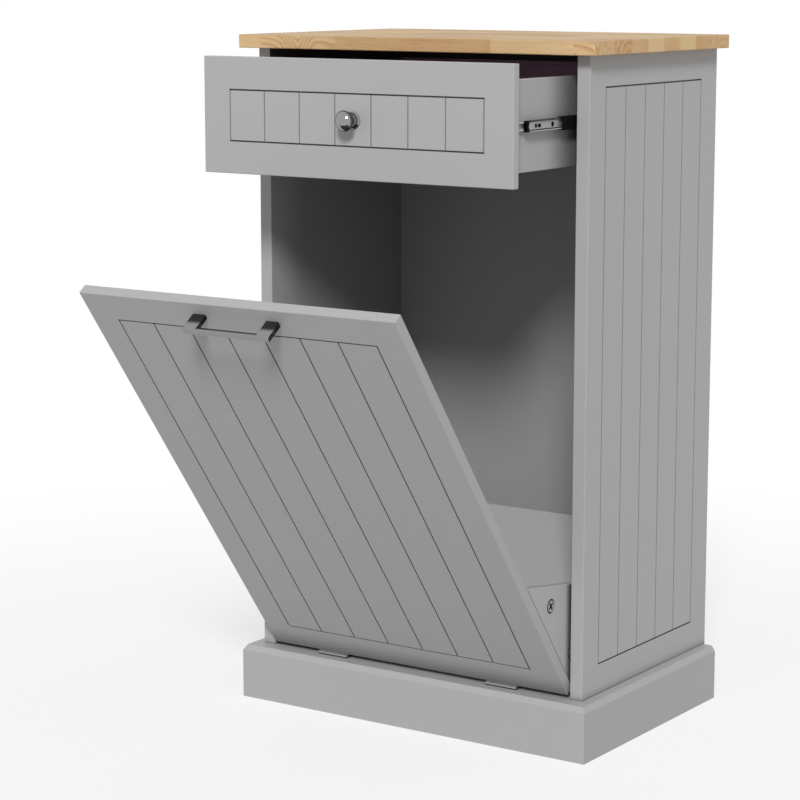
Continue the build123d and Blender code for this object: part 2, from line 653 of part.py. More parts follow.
with BuildPart(drawer_frame) as drawer_front:
    bead_front((drawer_foot, drawer_top), drawer_front_t)
    ply_slot((-ply_x - fit, ply_x + fit), (box_front - ply_groove, box_front))
    rod(drawer_bolts_at, cam_bolt_r + fit, cam_bolt_in, mode=Mode.SUBTRACT)
    rod(knob_screw_at, handle_screw_r + fit, knob_screw_l, mode=Mode.SUBTRACT)
save(drawer_front, "drawer_front")

with BuildPart(drawer_frame) as drawer_side_right:
    board((box_in, box_x), (box_front, box_end), (box_foot, box_top), box_arris)
    ply_slot((box_in, ply_x + fit), (box_front, box_end))
    rod(on_right(drawer_cams_at), cam_room_r, cam_depth, mode=Mode.SUBTRACT)
    rod(on_right(drawer_bolts_at), cam_bolt_r + fit, cam_bolt_in + cam_in, mode=Mode.SUBTRACT)
    countersunk(on_right(back_screws_at), wood_head_r, wood_head_h, wood_shank_r, wood_screw_l, fit,
                Mode.SUBTRACT)
    countersunk(on_right(drawer_slide_screws_at), slide_head_r, slide_head_h, slide_shank_r, slide_screw_l,
                fit, Mode.SUBTRACT)
save(drawer_side_right, "drawer_side_right")
save(mirrored(drawer_side_right), "drawer_side_left")

with BuildPart(drawer_frame) as drawer_back:
    board((-box_in, box_in), (box_end - box_t, box_end), (box_foot, box_back_top), box_arris)
    ply_slot((-box_in, box_in), (box_end - box_t, ply_y[1] + fit))
    countersunk(back_screws_at, wood_head_r, wood_head_h, wood_shank_r, wood_screw_l, fit, Mode.SUBTRACT)
save(drawer_back, "drawer_back")

with BuildPart(drawer_frame) as drawer_bottom:
    with Locations((0, sum(ply_y) / 2, ply_z + ply_t / 2)):
        Box(2 * ply_x, ply_y[1] - ply_y[0], ply_t)
save(drawer_bottom, "drawer_bottom")

with BuildPart(drawer_frame) as drawer_cam_locks:
    cam_locks(drawer_cams_at)
save(drawer_cam_locks, "drawer_cam_locks")

with BuildPart(drawer_frame) as drawer_cam_bolts:
    rod(drawer_bolts_at, cam_bolt_r, bolt_l)
save(drawer_cam_bolts, "drawer_cam_bolts")

with BuildPart(drawer_frame) as drawer_back_screws:
    countersunk(back_screws_at, wood_head_r, wood_head_h, wood_shank_r, wood_screw_l)
save(drawer_back_screws, "drawer_back_screws")

# Knob: a turned shape, from its rosette on the drawer front to the crown of its head
rim_in = knob_rim_at - knob_rim_rear
rim_out = knob_rim_at + knob_rim_front
rim_r = knob_head_r - knob_rim_fall
neck_at = (knob_base_t + rim_in) / 2
crown = knob_reach - rim_out
crown_r = (rim_r**2 + crown**2) / (2 * crown)
crown_half = atan2(rim_r, crown_r - crown) / 2
with BuildPart(drawer_frame) as drawer_knob:
    turned = Plane(origin=(0, front - drawer_out, knob_z), x_dir=(0, -1, 0), z_dir=(-1, 0, 0))
    with BuildSketch(turned):
        with BuildLine():
            Line((0, 0), (0, knob_base_r))
            Line((0, knob_base_r), (knob_base_t / 2, knob_base_r))
            Line((knob_base_t / 2, knob_base_r), (knob_base_t, knob_base_r - knob_base_t / 2))
            ThreePointArc((knob_base_t, knob_base_r - knob_base_t / 2),
                          ((knob_base_t + neck_at) / 2 - knob_foot_bow_d, knob_neck_r + knob_foot_bow_r),
                          (neck_at, knob_neck_r))
            ThreePointArc((neck_at, knob_neck_r),
                          ((neck_at + rim_in) / 2 + knob_neck_bow_d, knob_neck_r + knob_neck_bow_r),
                          (rim_in, rim_r))
            ThreePointArc((rim_in, rim_r), (knob_rim_at, knob_head_r), (rim_out, rim_r))
            ThreePointArc((rim_out, rim_r), (knob_reach - crown_r * (1 - cos(crown_half)),
                                             crown_r * sin(crown_half)), (knob_reach, 0))
            Line((knob_reach, 0), (0, 0))
        make_face()
    revolve(axis=Axis((0, front - drawer_out, knob_z), (0, -1, 0)))
    rod(knob_screw_at, handle_screw_r + fit, knob_screw_l + fit, mode=Mode.SUBTRACT)
save(drawer_knob, "drawer_knob")

with BuildPart(drawer_frame) as knob_screw:
    rod(knob_screw_at, handle_screw_r, knob_screw_l)
    rod(knob_screw_at, handle_head_r, handle_head_h)
    drive_slots(knob_screw_at)
save(knob_screw, "knob_screw")


# Ball slides, drawn for the right side: cabinet member, ball cage, middle member, drawer member
def section(rectangles, frame, y, length):
    """Extrudes rectangles of the slide's section, from y rearwards; x is from the drawer side."""
    rear_end = frame.from_local_coords((box_x, y + length, slide_z))
    with BuildSketch(Plane(origin=rear_end, x_dir=(1, 0, 0), z_dir=(0, -1, 0))) as profile:
        for (x0, x1), (z0, z1) in rectangles:
            with Locations(((x0 + x1) / 2, (z0 + z1) / 2)):
                Rectangle(x1 - x0, z1 - z0)
    extrude(profile.sketch, amount=length)


def channel(web, tips, half_h, metal):
    """C section: a web and two flanges."""
    return [(web, (-half_h, half_h)), (tips, (half_h - metal, half_h)), (tips, (-half_h, metal - half_h))]


cage_half_h = middle_half_h + ball_clear + ball_r + cage_t / 2
cabinet_half_h = outer_half_h + slide_metal
cage_web_x = (slide_space - slide_metal - cage_gap - cage_t, slide_space - slide_metal - cage_gap)
ball_z = middle_half_h + ball_clear + ball_r
ball_x = sum(middle_flange_x) / 2 + ball_off
cage_y = box_front + cage_behind
ball_pitch = cage_len / balls_in_row
balls_at = [(box_x + ball_x, cage_y + (i + 0.5) * ball_pitch, slide_z + k * ball_z)
            for i in range(balls_in_row) for k in (-1, 1)]

with BuildPart() as slide_cabinet_right:
    section(channel((slide_space - slide_metal, slide_space), (middle_flange_x[0] + cabinet_lip, slide_space),
                    cabinet_half_h, slide_metal), Plane.XY, box_front + slide_behind, slide_len)
    countersunk(on_right(cabinet_slide_screws), slide_head_r, slide_head_h, slide_shank_r, slide_screw_l, fit,
                Mode.SUBTRACT)
save(slide_cabinet_right, "slide_cabinet_right")
save(mirrored(slide_cabinet_right), "slide_cabinet_left")

with BuildPart() as slide_cabinet_screws:
    countersunk(cabinet_slide_screws, slide_head_r, slide_head_h, slide_shank_r, slide_screw_l)
save(slide_cabinet_screws, "slide_cabinet_screws")

with BuildPart(cage_frame) as ball_cage_right:
    section(channel(cage_web_x, (middle_flange_x[0] + cage_lip, cage_web_x[1]), cage_half_h, cage_t),
            cage_frame, cage_y, cage_len)
    with Locations(*balls_at):
        Cylinder(ball_r + fit, 2 * cage_t, mode=Mode.SUBTRACT)
save(ball_cage_right, "ball_cage_right")
save(mirrored(ball_cage_right), "ball_cage_left")

with BuildPart(cage_frame) as slide_balls_right:
    with Locations(*balls_at):
        Sphere(ball_r)
save(slide_balls_right, "slide_balls_right")
save(mirrored(slide_balls_right), "slide_balls_left")

middle_front = middle_y + bumper_l
with BuildPart(middle_frame) as slide_middle_right:
    section([((middle_web_x, middle_web_x + slide_metal), (-middle_half_h, middle_half_h)),
             (middle_flange_x, (middle_half_h - middle_flange_t, middle_half_h)),
             (middle_flange_x, (-middle_half_h, middle_flange_t - middle_half_h))],
            middle_frame, middle_front, slide_len - bumper_l)
    web = box_x + middle_web_x + slide_metal / 2
    for slot_d, slot_l in ((front_slot_d, front_slot_l), (rear_slot_d, rear_slot_l)):
        with Locations((web, middle_front + slot_d, slide_z)):
            Box(2 * slide_metal, slot_l, slot_h, mode=Mode.SUBTRACT)
    with Locations(Location((web, middle_front + web_hole_d, slide_z), RIGHT)):
        Cylinder(web_hole_r, 2 * slide_metal, mode=Mode.SUBTRACT)
save(slide_middle_right, "slide_middle_right")
save(mirrored(slide_middle_right), "slide_middle_left")

# Bumper: hourglass-shaped plastic end on the middle member
with BuildPart(middle_frame) as slide_bumper_right:
    waist = (bumper_l - bumper_waist) / 2
    bumper_corner = middle_frame.from_local_coords((box_x + inner_flange + run_gap, middle_y, slide_z))
    bumper_plane = Plane(origin=bumper_corner, x_dir=(0, 1, 0), z_dir=(1, 0, 0))
    with BuildSketch(bumper_plane):
        with BuildLine():
            Polyline((0, -middle_half_h), (bumper_l, -middle_half_h), (bumper_l - waist, 0),
                     (bumper_l, middle_half_h), (0, middle_half_h), (waist, 0), close=True)
        make_face()
    extrude(amount=bumper_t)
save(slide_bumper_right, "slide_bumper_right")
save(mirrored(slide_bumper_right), "slide_bumper_left")

with BuildPart(drawer_frame) as slide_drawer_right:
    section(channel((0, slide_metal), (0, inner_flange), inner_half_h, slide_metal), drawer_frame, box_front,
            slide_len)
    countersunk(on_right(drawer_slide_screws_at), slide_head_r, slide_head_h, slide_shank_r, slide_screw_l,
                fit, Mode.SUBTRACT)
save(slide_drawer_right, "slide_drawer_right")
save(mirrored(slide_drawer_right), "slide_drawer_left")

with BuildPart(drawer_frame) as slide_drawer_screws:
    countersunk(drawer_slide_screws_at, slide_head_r, slide_head_h, slide_shank_r, slide_screw_l)
save(slide_drawer_screws, "slide_drawer_screws")

print("hinge line y, z:", round(hinge_y, 3), round(hinge_z, 3))
print("body front, rear, inner half width:", front, rear, x_in)
print("tray end and rail top, closed:", tray_end, door_foot + gusset_rail)
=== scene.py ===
"""Kitchen trash cabinet: finishes, fine fittings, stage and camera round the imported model."""
import functools
import json
import math

import bmesh
import bpy
from bpy.props import FloatProperty, FloatVectorProperty, IntProperty, PointerProperty
from bpy.types import Operator, Panel, PropertyGroup
from mathutils import Matrix, Vector


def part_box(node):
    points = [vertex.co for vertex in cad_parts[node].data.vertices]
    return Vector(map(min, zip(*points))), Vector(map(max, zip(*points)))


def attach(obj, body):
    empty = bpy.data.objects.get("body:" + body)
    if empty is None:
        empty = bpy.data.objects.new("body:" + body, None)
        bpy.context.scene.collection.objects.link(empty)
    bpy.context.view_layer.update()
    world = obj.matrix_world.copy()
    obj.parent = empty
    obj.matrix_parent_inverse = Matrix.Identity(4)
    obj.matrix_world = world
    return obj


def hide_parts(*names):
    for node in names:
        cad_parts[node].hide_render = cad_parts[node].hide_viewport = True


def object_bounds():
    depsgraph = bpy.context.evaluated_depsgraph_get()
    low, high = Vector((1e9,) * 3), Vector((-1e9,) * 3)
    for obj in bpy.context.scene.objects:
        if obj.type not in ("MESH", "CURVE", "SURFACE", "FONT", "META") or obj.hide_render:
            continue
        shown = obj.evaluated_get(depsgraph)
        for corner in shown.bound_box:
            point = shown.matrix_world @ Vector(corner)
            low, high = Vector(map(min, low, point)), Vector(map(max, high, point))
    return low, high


bl_info = {
    "name": "Kitchen Trash Cabinet",
    "version": (1, 0, 0),
    "blender": (4, 5, 0),
    "location": "View3D > Sidebar > Cabinet",
    "description": "Dresses the packed cabinet with finishes, fittings, a stage and a camera",
    "category": "Object",
}

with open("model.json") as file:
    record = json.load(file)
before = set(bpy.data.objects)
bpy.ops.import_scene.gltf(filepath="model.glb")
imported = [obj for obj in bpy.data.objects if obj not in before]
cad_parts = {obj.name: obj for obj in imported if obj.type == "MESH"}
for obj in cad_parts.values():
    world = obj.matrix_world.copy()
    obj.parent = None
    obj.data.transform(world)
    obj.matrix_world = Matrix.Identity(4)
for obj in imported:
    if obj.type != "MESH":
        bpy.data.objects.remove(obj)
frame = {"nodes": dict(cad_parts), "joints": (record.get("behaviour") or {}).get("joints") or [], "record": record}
cad_low, cad_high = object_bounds()

MM = 0.001
BODY_OF = {node: body for body, nodes in frame["record"]["behaviour"]["bodies"].items() for node in nodes}
DOOR_TILT = -math.radians(next(j for j in frame["joints"] if j["name"] == "door_tilt")["range_deg"][0])
INTO_DOOR = Vector((0.0, math.cos(DOOR_TILT), math.sin(DOOR_TILT)))
UP_DOOR = Vector((0.0, -math.sin(DOOR_TILT), math.cos(DOOR_TILT)))
X_AXIS, Y_AXIS, Z_AXIS = Matrix.Identity(3)

SIDES = ("left", "right")
PLINTH = ("plinth_front", "plinth_left", "plinth_right")
SIDE_PANELS = ("side_panel_left", "side_panel_right")
TRAY = ("tray_gusset_left", "tray_gusset_right", "tray_floor")
INNER_BOARDS = ("bottom_panel", "back_board", "drawer_bottom")
DRAWER_BOX = ("drawer_side_left", "drawer_side_right", "drawer_back")
BEECH = ("worktop_dowels", "plinth_blocks", "door_stops")
SLIDE_FLANGE = 1.4 * MM
SLIDE_SLOTS = ((17.5 * MM, 2.2 * MM), (25.4 * MM, 3.2 * MM))
SLIDE_HOLE = (56.0 * MM, 2.6 * MM)
CAM_SLOT = {"Slot Length": 10.6 * MM, "Slot Width": 2.6 * MM, "Slot Depth": 3.0 * MM, "Rim": 1.5 * MM}
PAN_HEIGHT = 2.2 * MM
HINGES = ("hinge_fixed_leaves", "hinge_moving_leaves", "hinge_pins")
BLACK_PLASTIC = tuple(f"{part}_{side}" for part in ("ball_cage", "slide_bumper") for side in SIDES)
CAM_BOLTS = ("body_cam_bolts", "drawer_cam_bolts", "tray_cam_bolts")
CAM_LOCKS = ("body_cam_locks", "drawer_cam_locks", "tray_cam_locks")
COUNTERSUNK = ("worktop_screws", "plinth_screws", "hinge_fixed_screws", "hinge_moving_screws",
               "door_stop_screws", "slide_cabinet_screws", "slide_drawer_screws", "tray_floor_screws",
               "drawer_back_screws")
PAN_HEADED = ("handle_screws", "knob_screw")
SCREW_TURN = 0.7
SATIN, DULL_SATIN, MATT = 0.46, 0.50, 0.55
WHITE = (1.0, 1.0, 1.0)

Colour = functools.partial(FloatVectorProperty, size=3, subtype="COLOR")
Place = functools.partial(FloatVectorProperty, size=3, subtype="XYZ", unit="LENGTH")
Length = functools.partial(FloatProperty, unit="LENGTH")
Angle = functools.partial(FloatProperty, subtype="ANGLE")


class StageSettings(PropertyGroup):
    camera_place: Place(
        name="Camera place", description="Where the camera stands", default=(1.786, -2.656, 0.994))
    camera_aim: Place(
        name="Camera aim", description="Point that the camera looks at", default=(-0.0181, 0.0, 0.4352))
    lens: FloatProperty(name="Lens", description="Focal length", default=113.35, unit="CAMERA")
    key_turn: Angle(
        name="Key turn", description="Key light to the right of the cabinet's front",
        default=math.radians(29.5))
    key_height: Angle(name="Key height", description="Key light above the horizon", default=math.radians(34))
    key_spread: Angle(
        name="Key spread", description="Width of the key light as the cabinet sees it",
        default=math.radians(13))
    key_power: FloatProperty(name="Key power", description="Irradiance of the key light", default=2.2)
    sky_level: FloatProperty(name="Sky level", description="Even light from all round", default=0.46)
    floor_tone: FloatProperty(
        name="Floor tone", description="How much light the floor sends back to the cabinet", default=0.60)
    floor_shadow: FloatProperty(
        name="Floor shadow", description="Share of the shadow that the camera sees", default=0.45)
    floor_radius: Length(name="Floor radius", description="Reach of the floor", default=9.0)


class PaintSettings(PropertyGroup):
    tone: Colour(name="Board paint", description="Grey of the painted boards", default=(0.43, 0.43, 0.43))
    # Inner grey, darker than the board paint: painted shade inside the cabinet on the back, bottom and drawer
    # bottom boards; it is also the grey of the boards' rear faces
    inner_tone: Colour(
        name="Inner boards", description="Grey of the back and bottom boards", default=(0.34, 0.34, 0.34))
    tray_tone: Colour(
        name="Tray paint", description="Grey of the tray behind the door", default=(0.41, 0.41, 0.41))
    plinth_tone: Colour(
        name="Plinth paint", description="Grey of the plinth boards", default=(0.40, 0.40, 0.40))
    drawer_tone: Colour(
        name="Drawer paint", description="Grey of the drawer box", default=(0.40, 0.40, 0.40))
    bay_tone: Colour(
        name="Drawer bay", description="Front of the board behind the drawer", default=(0.43, 0.25, 0.40))
    rail_tone: Colour(
        name="Top rail", description="Front of the rail under the worktop", default=(0.035, 0.035, 0.035))
    band_height: Length(
        name="Rail band", description="Height of the coloured band on the top rail", default=5 * MM)
    # Painted shade towards the plinth: how much and how high the boards darken near it
    foot_shade: FloatProperty(
        name="Foot shade", description="How much the boards darken towards the plinth", default=0.45)
    foot_reach: Length(name="Foot reach", description="Height of the darker foot", default=34 * MM)
    # Painted shade in the grooves; below zero the drawer's upright grooves are painted lighter, a painted
    # highlight
    groove_shade: FloatProperty(
        name="Groove shade", description="Share of light lost in the level grooves", default=0.6)
    door_groove_shade: FloatProperty(
        name="Door grooves", description="Share of light lost in the door's upright grooves", default=0.6)
    side_groove_shade: FloatProperty(
        name="Side grooves", description="Share of light lost in the side panels' upright grooves",
        default=0.4)
    drawer_groove_shade: FloatProperty(
        name="Drawer grooves", default=-0.1,
        description="Share of light lost in the drawer's upright grooves, lighter below zero")
    # Painted shade: a thin dark line at the boards' joint with the plinth, and a dimming of the paint from top to
    # foot
    joint_shade: FloatProperty(
        name="Joint shade", description="Share of light lost in the joints between boards", default=0.5)
    fade: FloatProperty(name="Fade", description="How much the paint dims from top to foot", default=0.09)
    peel_size: Length(
        name="Roller texture", description="Size of the paint's fine texture", default=1.4 * MM)
    peel_depth: Length(
        name="Texture depth", description="Depth of the paint's fine texture", default=0.02 * MM)
    cloud_size: Length(name="Tone patches", description="Size of faint patches in the tone", default=90 * MM)


class WoodSettings(PropertyGroup):
    light: Colour(name="Light wood", description="Early wood", default=(0.715, 0.525, 0.28))
    dark: Colour(name="Dark wood", description="Late wood and pores", default=(0.50, 0.27, 0.105))
    red: Colour(name="Late wood", description="Reddish growth rings", default=(0.42, 0.17, 0.065))
    stave_width: Length(name="Stave width", description="Width of a glued stave", default=42 * MM)
    stave_length: Length(
        name="Piece length", description="Length of a finger-jointed piece", default=118 * MM)
    seed: IntProperty(name="Seed", description="Another board with another number", default=5)
    # Painted shade on the worktop's upper face
    top_shade: FloatProperty(
        name="Top shade", description="How much darker the worktop's upper face is", default=0.18)
    swirl_width: Length(
        name="Swirl width", description="Length of the bend in each piece's rings", default=17 * MM)
    swirl_depth: Length(
        name="Swirl depth", description="Depth of the bend in each piece's rings", default=26 * MM)
    ring_width: Length(name="Ring width", description="Distance between growth rings", default=8.0 * MM)


class FittingSettings(PropertyGroup):
    chrome: Colour(name="Chrome", description="Knob", default=(0.30, 0.30, 0.305))
    nickel: Colour(name="Dark nickel", description="Pull handle", default=(0.27, 0.27, 0.27))
    zinc: Colour(
        name="Zinc", description="Cabinet and middle members of the slides", default=(0.36, 0.36, 0.365))
    # Painted light: the drawer member's zinc is lighter than the other members' zinc, for how light falls on it
    painted_lit_zinc: Colour(
        name="Lit zinc", description="Drawer member of the slides", default=(0.58, 0.58, 0.58))
    hinge: Colour(name="Hinge zinc", description="Hinges", default=(0.32, 0.32, 0.32))
    steel: Colour(name="Screw steel", description="Screws and cam locks", default=(0.34, 0.34, 0.335))
    facets: IntProperty(name="Facets", description="Facets round a screw head", default=32, min=8)
    thread_turns: IntProperty(name="Thread turns", description="Turns of a screw's thread", default=9, min=1)


class Wire:
    """An output socket on which Python arithmetic adds Math nodes; masks join with a vertical bar."""

    def __init__(self, graph, socket):
        self.graph = graph
        self.socket = socket

    def math(self, operation, *others):
        return self.graph.node("ShaderNodeMath", {"operation": operation}, dict(enumerate((self, *others))))

    def __add__(self, other):
        return self.math("ADD", other)

    def __sub__(self, other):
        return self.math("SUBTRACT", other)

    def __rsub__(self, other):
        return self.graph.node("ShaderNodeMath", {"operation": "SUBTRACT"}, {0: other, 1: self})

    def __mul__(self, other):
        return self.math("MULTIPLY", other)

    def __truediv__(self, other):
        return self.math("DIVIDE", other)

    def __pow__(self, other):
        return self.math("POWER", other)

    def __abs__(self):
        return self.math("ABSOLUTE")

    def __neg__(self):
        return 0.0 - self

    def __gt__(self, other):
        return self.math("GREATER_THAN", other)

    def __lt__(self, other):
        return self.math("LESS_THAN", other)

    def __or__(self, other):
        return self.math("MAXIMUM", other)

    __radd__, __rmul__ = __add__, __mul__


class Graph:
    """A node tree with one method for any node; what it returns takes part in arithmetic."""

    def __init__(self, tree):
        self.tree = tree
        tree.nodes.clear()

    def node(self, kind, options=None, sockets=None, out=0):
        """Adds a node, its options first, then the values or links of its sockets."""
        made = self.tree.nodes.new(kind)
        for name, value in (options or {}).items():
            setattr(made, name, value)
        for name, value in (sockets or {}).items():
            for item in value if isinstance(value, list) else [value]:
                self.feed(made.inputs[name], item)
        return Wire(self, made.outputs[out]) if len(made.outputs) else None

    def feed(self, socket, value):
        if isinstance(value, Wire):
            self.tree.links.new(value.socket, socket)
        elif socket.type == "RGBA":
            socket.default_value = (*value[:3], 1.0)
        else:
            socket.default_value = value

    def parts(self, vector):
        """The X, Y and Z of a vector."""
        split = self.tree.nodes.new("ShaderNodeSeparateXYZ")
        self.feed(split.inputs[0], vector)
        return [Wire(self, socket) for socket in split.outputs]

    def ramp(self, value, low, high, start=0.0, end=1.0, smooth=True):
        """The value between low and high, carried over to start and end."""
        kind = "SMOOTHSTEP" if smooth else "LINEAR"
        return self.node("ShaderNodeMapRange", {"interpolation_type": kind},
                         {0: value, 1: low, 2: high, 3: start, 4: end})

    def mix(self, factor, first, second, blend="MIX"):
        """Mixes two colours."""
        return self.node("ShaderNodeMix", {"data_type": "RGBA", "blend_type": blend},
                         {0: factor, 6: first, 7: second}, out=2)


class Finish(Graph):
    """A material with one Principled surface that reads Object coordinates."""

    def __init__(self, name, constants):
        self.material = bpy.data.materials.new(name)
        self.material.use_nodes = True
        super().__init__(self.material.node_tree)
        self.shader = self.tree.nodes.new("ShaderNodeBsdfPrincipled")
        self.node("ShaderNodeOutputMaterial", None, {"Surface": Wire(self, self.shader.outputs[0])})
        self.place = self.node("ShaderNodeTexCoord", out="Object")
        self.surface(constants)

    def surface(self, sockets):
        for name, value in sockets.items():
            self.feed(self.shader.inputs[name], value)

    def axes(self):
        """The X, Y and Z of the place."""
        return self.parts(self.place)

    def along(self, direction):
        """How far the place lies along a direction."""
        return self.node("ShaderNodeVectorMath", {"operation": "DOT_PRODUCT"},
                         {0: self.place, 1: direction}, out="Value")

    def noise(self, scale, detail=2.0, rough=0.5):
        """Noise in the place, with one scale or a tuple of scales, one along each axis."""
        place = self.place
        if isinstance(scale, tuple):
            place = self.node("ShaderNodeVectorMath", {"operation": "MULTIPLY"}, {0: place, 1: scale})
            scale = 1.0
        return self.node("ShaderNodeTexNoise", None,
                         {"Vector": place, "Scale": scale, "Detail": detail, "Roughness": rough})

    def shade(self, colour, value):
        """A colour times a value."""
        return self.node("ShaderNodeVectorMath", {"operation": "SCALE"}, {0: colour, "Scale": value})

    def bump(self, height, distance):
        self.surface({"Normal": self.node("ShaderNodeBump", None, {"Height": height, "Distance": distance,
                                                                   "Strength": 1.0})})


def settings(group):
    """One of the scene's groups of settings of this cabinet."""
    return getattr(bpy.context.scene, f"cabinet_{group}")


def board_paint(name, tone, roughness, *layers):
    """Satin paint on fibreboard: a fine roller texture and faint patches in tone and gloss.

    Each layer takes the finish, its colour and its level, and gives back a colour and a level."""
    paint = settings("paint")
    finish = Finish(name, {"Specular IOR Level": 0.3})
    patches = finish.noise(1 / paint.cloud_size, detail=3.0)
    fine = finish.noise(1 / paint.peel_size)
    colour, level = tone, 0.985 + 0.03 * patches
    for layer in layers:
        colour, level = layer(finish, colour, level)
    finish.surface({
        "Base Color": finish.shade(colour, level),
        "Roughness": roughness - 0.03 + 0.06 * patches + 0.04 * fine,
    })
    finish.bump(fine, paint.peel_depth)
    return finish.material


def painted_foot_shade(foot, reach, shade, fade=0.0):
    """Layer of painted shade: darkens the paint just above a height, where shade gathers near the plinth, and
    fades it towards that height.
    """
    def layer(finish, colour, level):
        z = finish.axes()[2]
        near = finish.ramp(z, foot, foot + reach, 1 - shade, 1.0)
        return colour, level * near * finish.ramp(z, foot, cad_high.z, 1 - fade, 1.0, smooth=False)
    return layer


def grey_behind(depth):
    """Layer with the inner boards' grey behind a depth."""
    def layer(finish, colour, level):
        return finish.mix(finish.axes()[1] > depth, colour, settings("paint").inner_tone), level
    return layer


def corners_of(node):
    """The corner points of a CAD node."""
    return [vertex.co for vertex in frame["nodes"][node].data.vertices]


def seam(node, inward):
    """Layer with a fine dark seam along the front of a node: painted shade in the joint where it meets the board
    in front.
    """
    dark_to, clear_from, least = 0.3 * MM, 1.6 * MM, 0.5

    def layer(finish, colour, level):
        front = min(inward.dot(corner) for corner in corners_of(node))
        return colour, level * finish.ramp(finish.along(inward) - front, dark_to, clear_from, least, 1.0)
    return layer


def lower_band(finish, colour, level):
    """Layer with the drawer bay's colour on the lower edge of the top rail."""
    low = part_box("top_rail")[0].z
    below = finish.axes()[2] < low + settings("paint").band_height
    return finish.mix(below, colour, settings("paint").bay_tone), level


def painted_gap_shade(node, depth):
    """Layer of painted shade on a board's outer face, darker towards a depth, where it runs close past its
    neighbour.
    """
    before, after, darkest = 12 * MM, 3 * MM, 0.75

    def layer(finish, colour, level):
        x, y, _ = finish.axes()
        outer = abs(x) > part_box(node)[1].x - 0.15 * MM
        return colour, level * (1 - outer * finish.ramp(y, depth - before, depth + after, 0.0, darkest))
    return layer


def painted_shade_behind(start, end, least):
    """Layer of painted shade that dims the paint from one depth to another."""
    def layer(finish, colour, level):
        return colour, level * finish.ramp(finish.axes()[1], start, end, 1.0, least)
    return layer


def beaded(node, inward, upright_shade):
    """Layer for a bead panel: painted shade in its grooves and the inner boards' grey on its rear face."""
    def layer(finish, colour, level):
        paint = settings("paint")
        upright, level_one, rear = bead_masks(finish, node, inward)
        # Painted shade in the grooves; a share below zero paints a highlight there instead
        shade = 1 - upright_shade * upright - paint.groove_shade * level_one
        return finish.mix(rear, colour, paint.inner_tone), level * shade
    return layer


def beaded_side(node, bay):
    """Side panel layer: beads outside, painted shade on the inner face, dim at depth and dark in the drawer bay.
    """
    dim_reach, dim_shade, bay_edge, bay_shade = 80 * MM, 0.14, 6 * MM, 0.88

    def layer(finish, colour, level):
        paint = settings("paint")
        upright, level_one, inner = bead_masks(finish, node, X_AXIS)
        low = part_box(node)[0]
        _, y, z = finish.axes()
        depth = finish.ramp(y, low.y, low.y + dim_reach)
        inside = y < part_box("drawer_bay_back")[0].y
        dark = 1 - bay_shade * inside * finish.ramp(z, bay, bay + bay_edge)
        shade = 1 - paint.side_groove_shade * upright - paint.groove_shade * level_one
        # Painted shade inside the cabinet: the inner face turns to the inner grey and dims with depth, and is
        # painted nearly black above the drawer front's lower edge in the bay
        return (finish.mix(inner * depth, colour, paint.inner_tone),
                level * shade * (1 - inner * (1 - dark * (1 - dim_shade * depth))))
    return layer


def bead_masks(finish, node, inward):
    """Masks of a bead panel: 1 in its upright grooves, in its level grooves, and on its rear face.

    The way into the face has no X part on a door or a drawer front, and only that on a side panel, whose
    two faces are taken as one by the distance from the middle plane."""
    corners = corners_of(node)
    sideways = abs(inward.x) > 0.5
    up = Z_AXIS if sideways else X_AXIS.cross(inward)
    x, y, _ = finish.axes()
    if sideways:
        face = max(abs(corner.x) for corner in corners)
        depths = [face - abs(corner.x) for corner in corners]
        depth, across = -abs(x) + face, y
        sides = [corner.y for corner in corners]
    else:
        face = min(inward.dot(corner) for corner in corners)
        depths = [inward.dot(corner) - face for corner in corners]
        depth = finish.along(inward) - face
        across, sides = abs(x), [-1.0] + [corner.x for corner in corners]
    height = finish.along(up)
    heights = [up.dot(corner) for corner in corners]
    margin, flank, groove_low, groove_high = 6 * MM, 2.2 * MM, 0.35 * MM, 5 * MM
    deep = [high for high, down in zip(heights, depths) if 1 * MM < down < groove_high
            and min(heights) + 4 * margin < high < max(heights) - 4 * margin]

    def between(value, low, high):
        return (value > low) * (value < high)

    groove = (between(depth, groove_low, groove_high)
              * between(across, min(sides) + margin, max(sides) - margin)
              * between(height, min(heights) + margin, max(heights) - margin))
    middle = between(height, min(deep) + flank, max(deep) - flank)
    return groove * middle, groove * (1 - middle), depth > max(depths) - 0.2 * MM


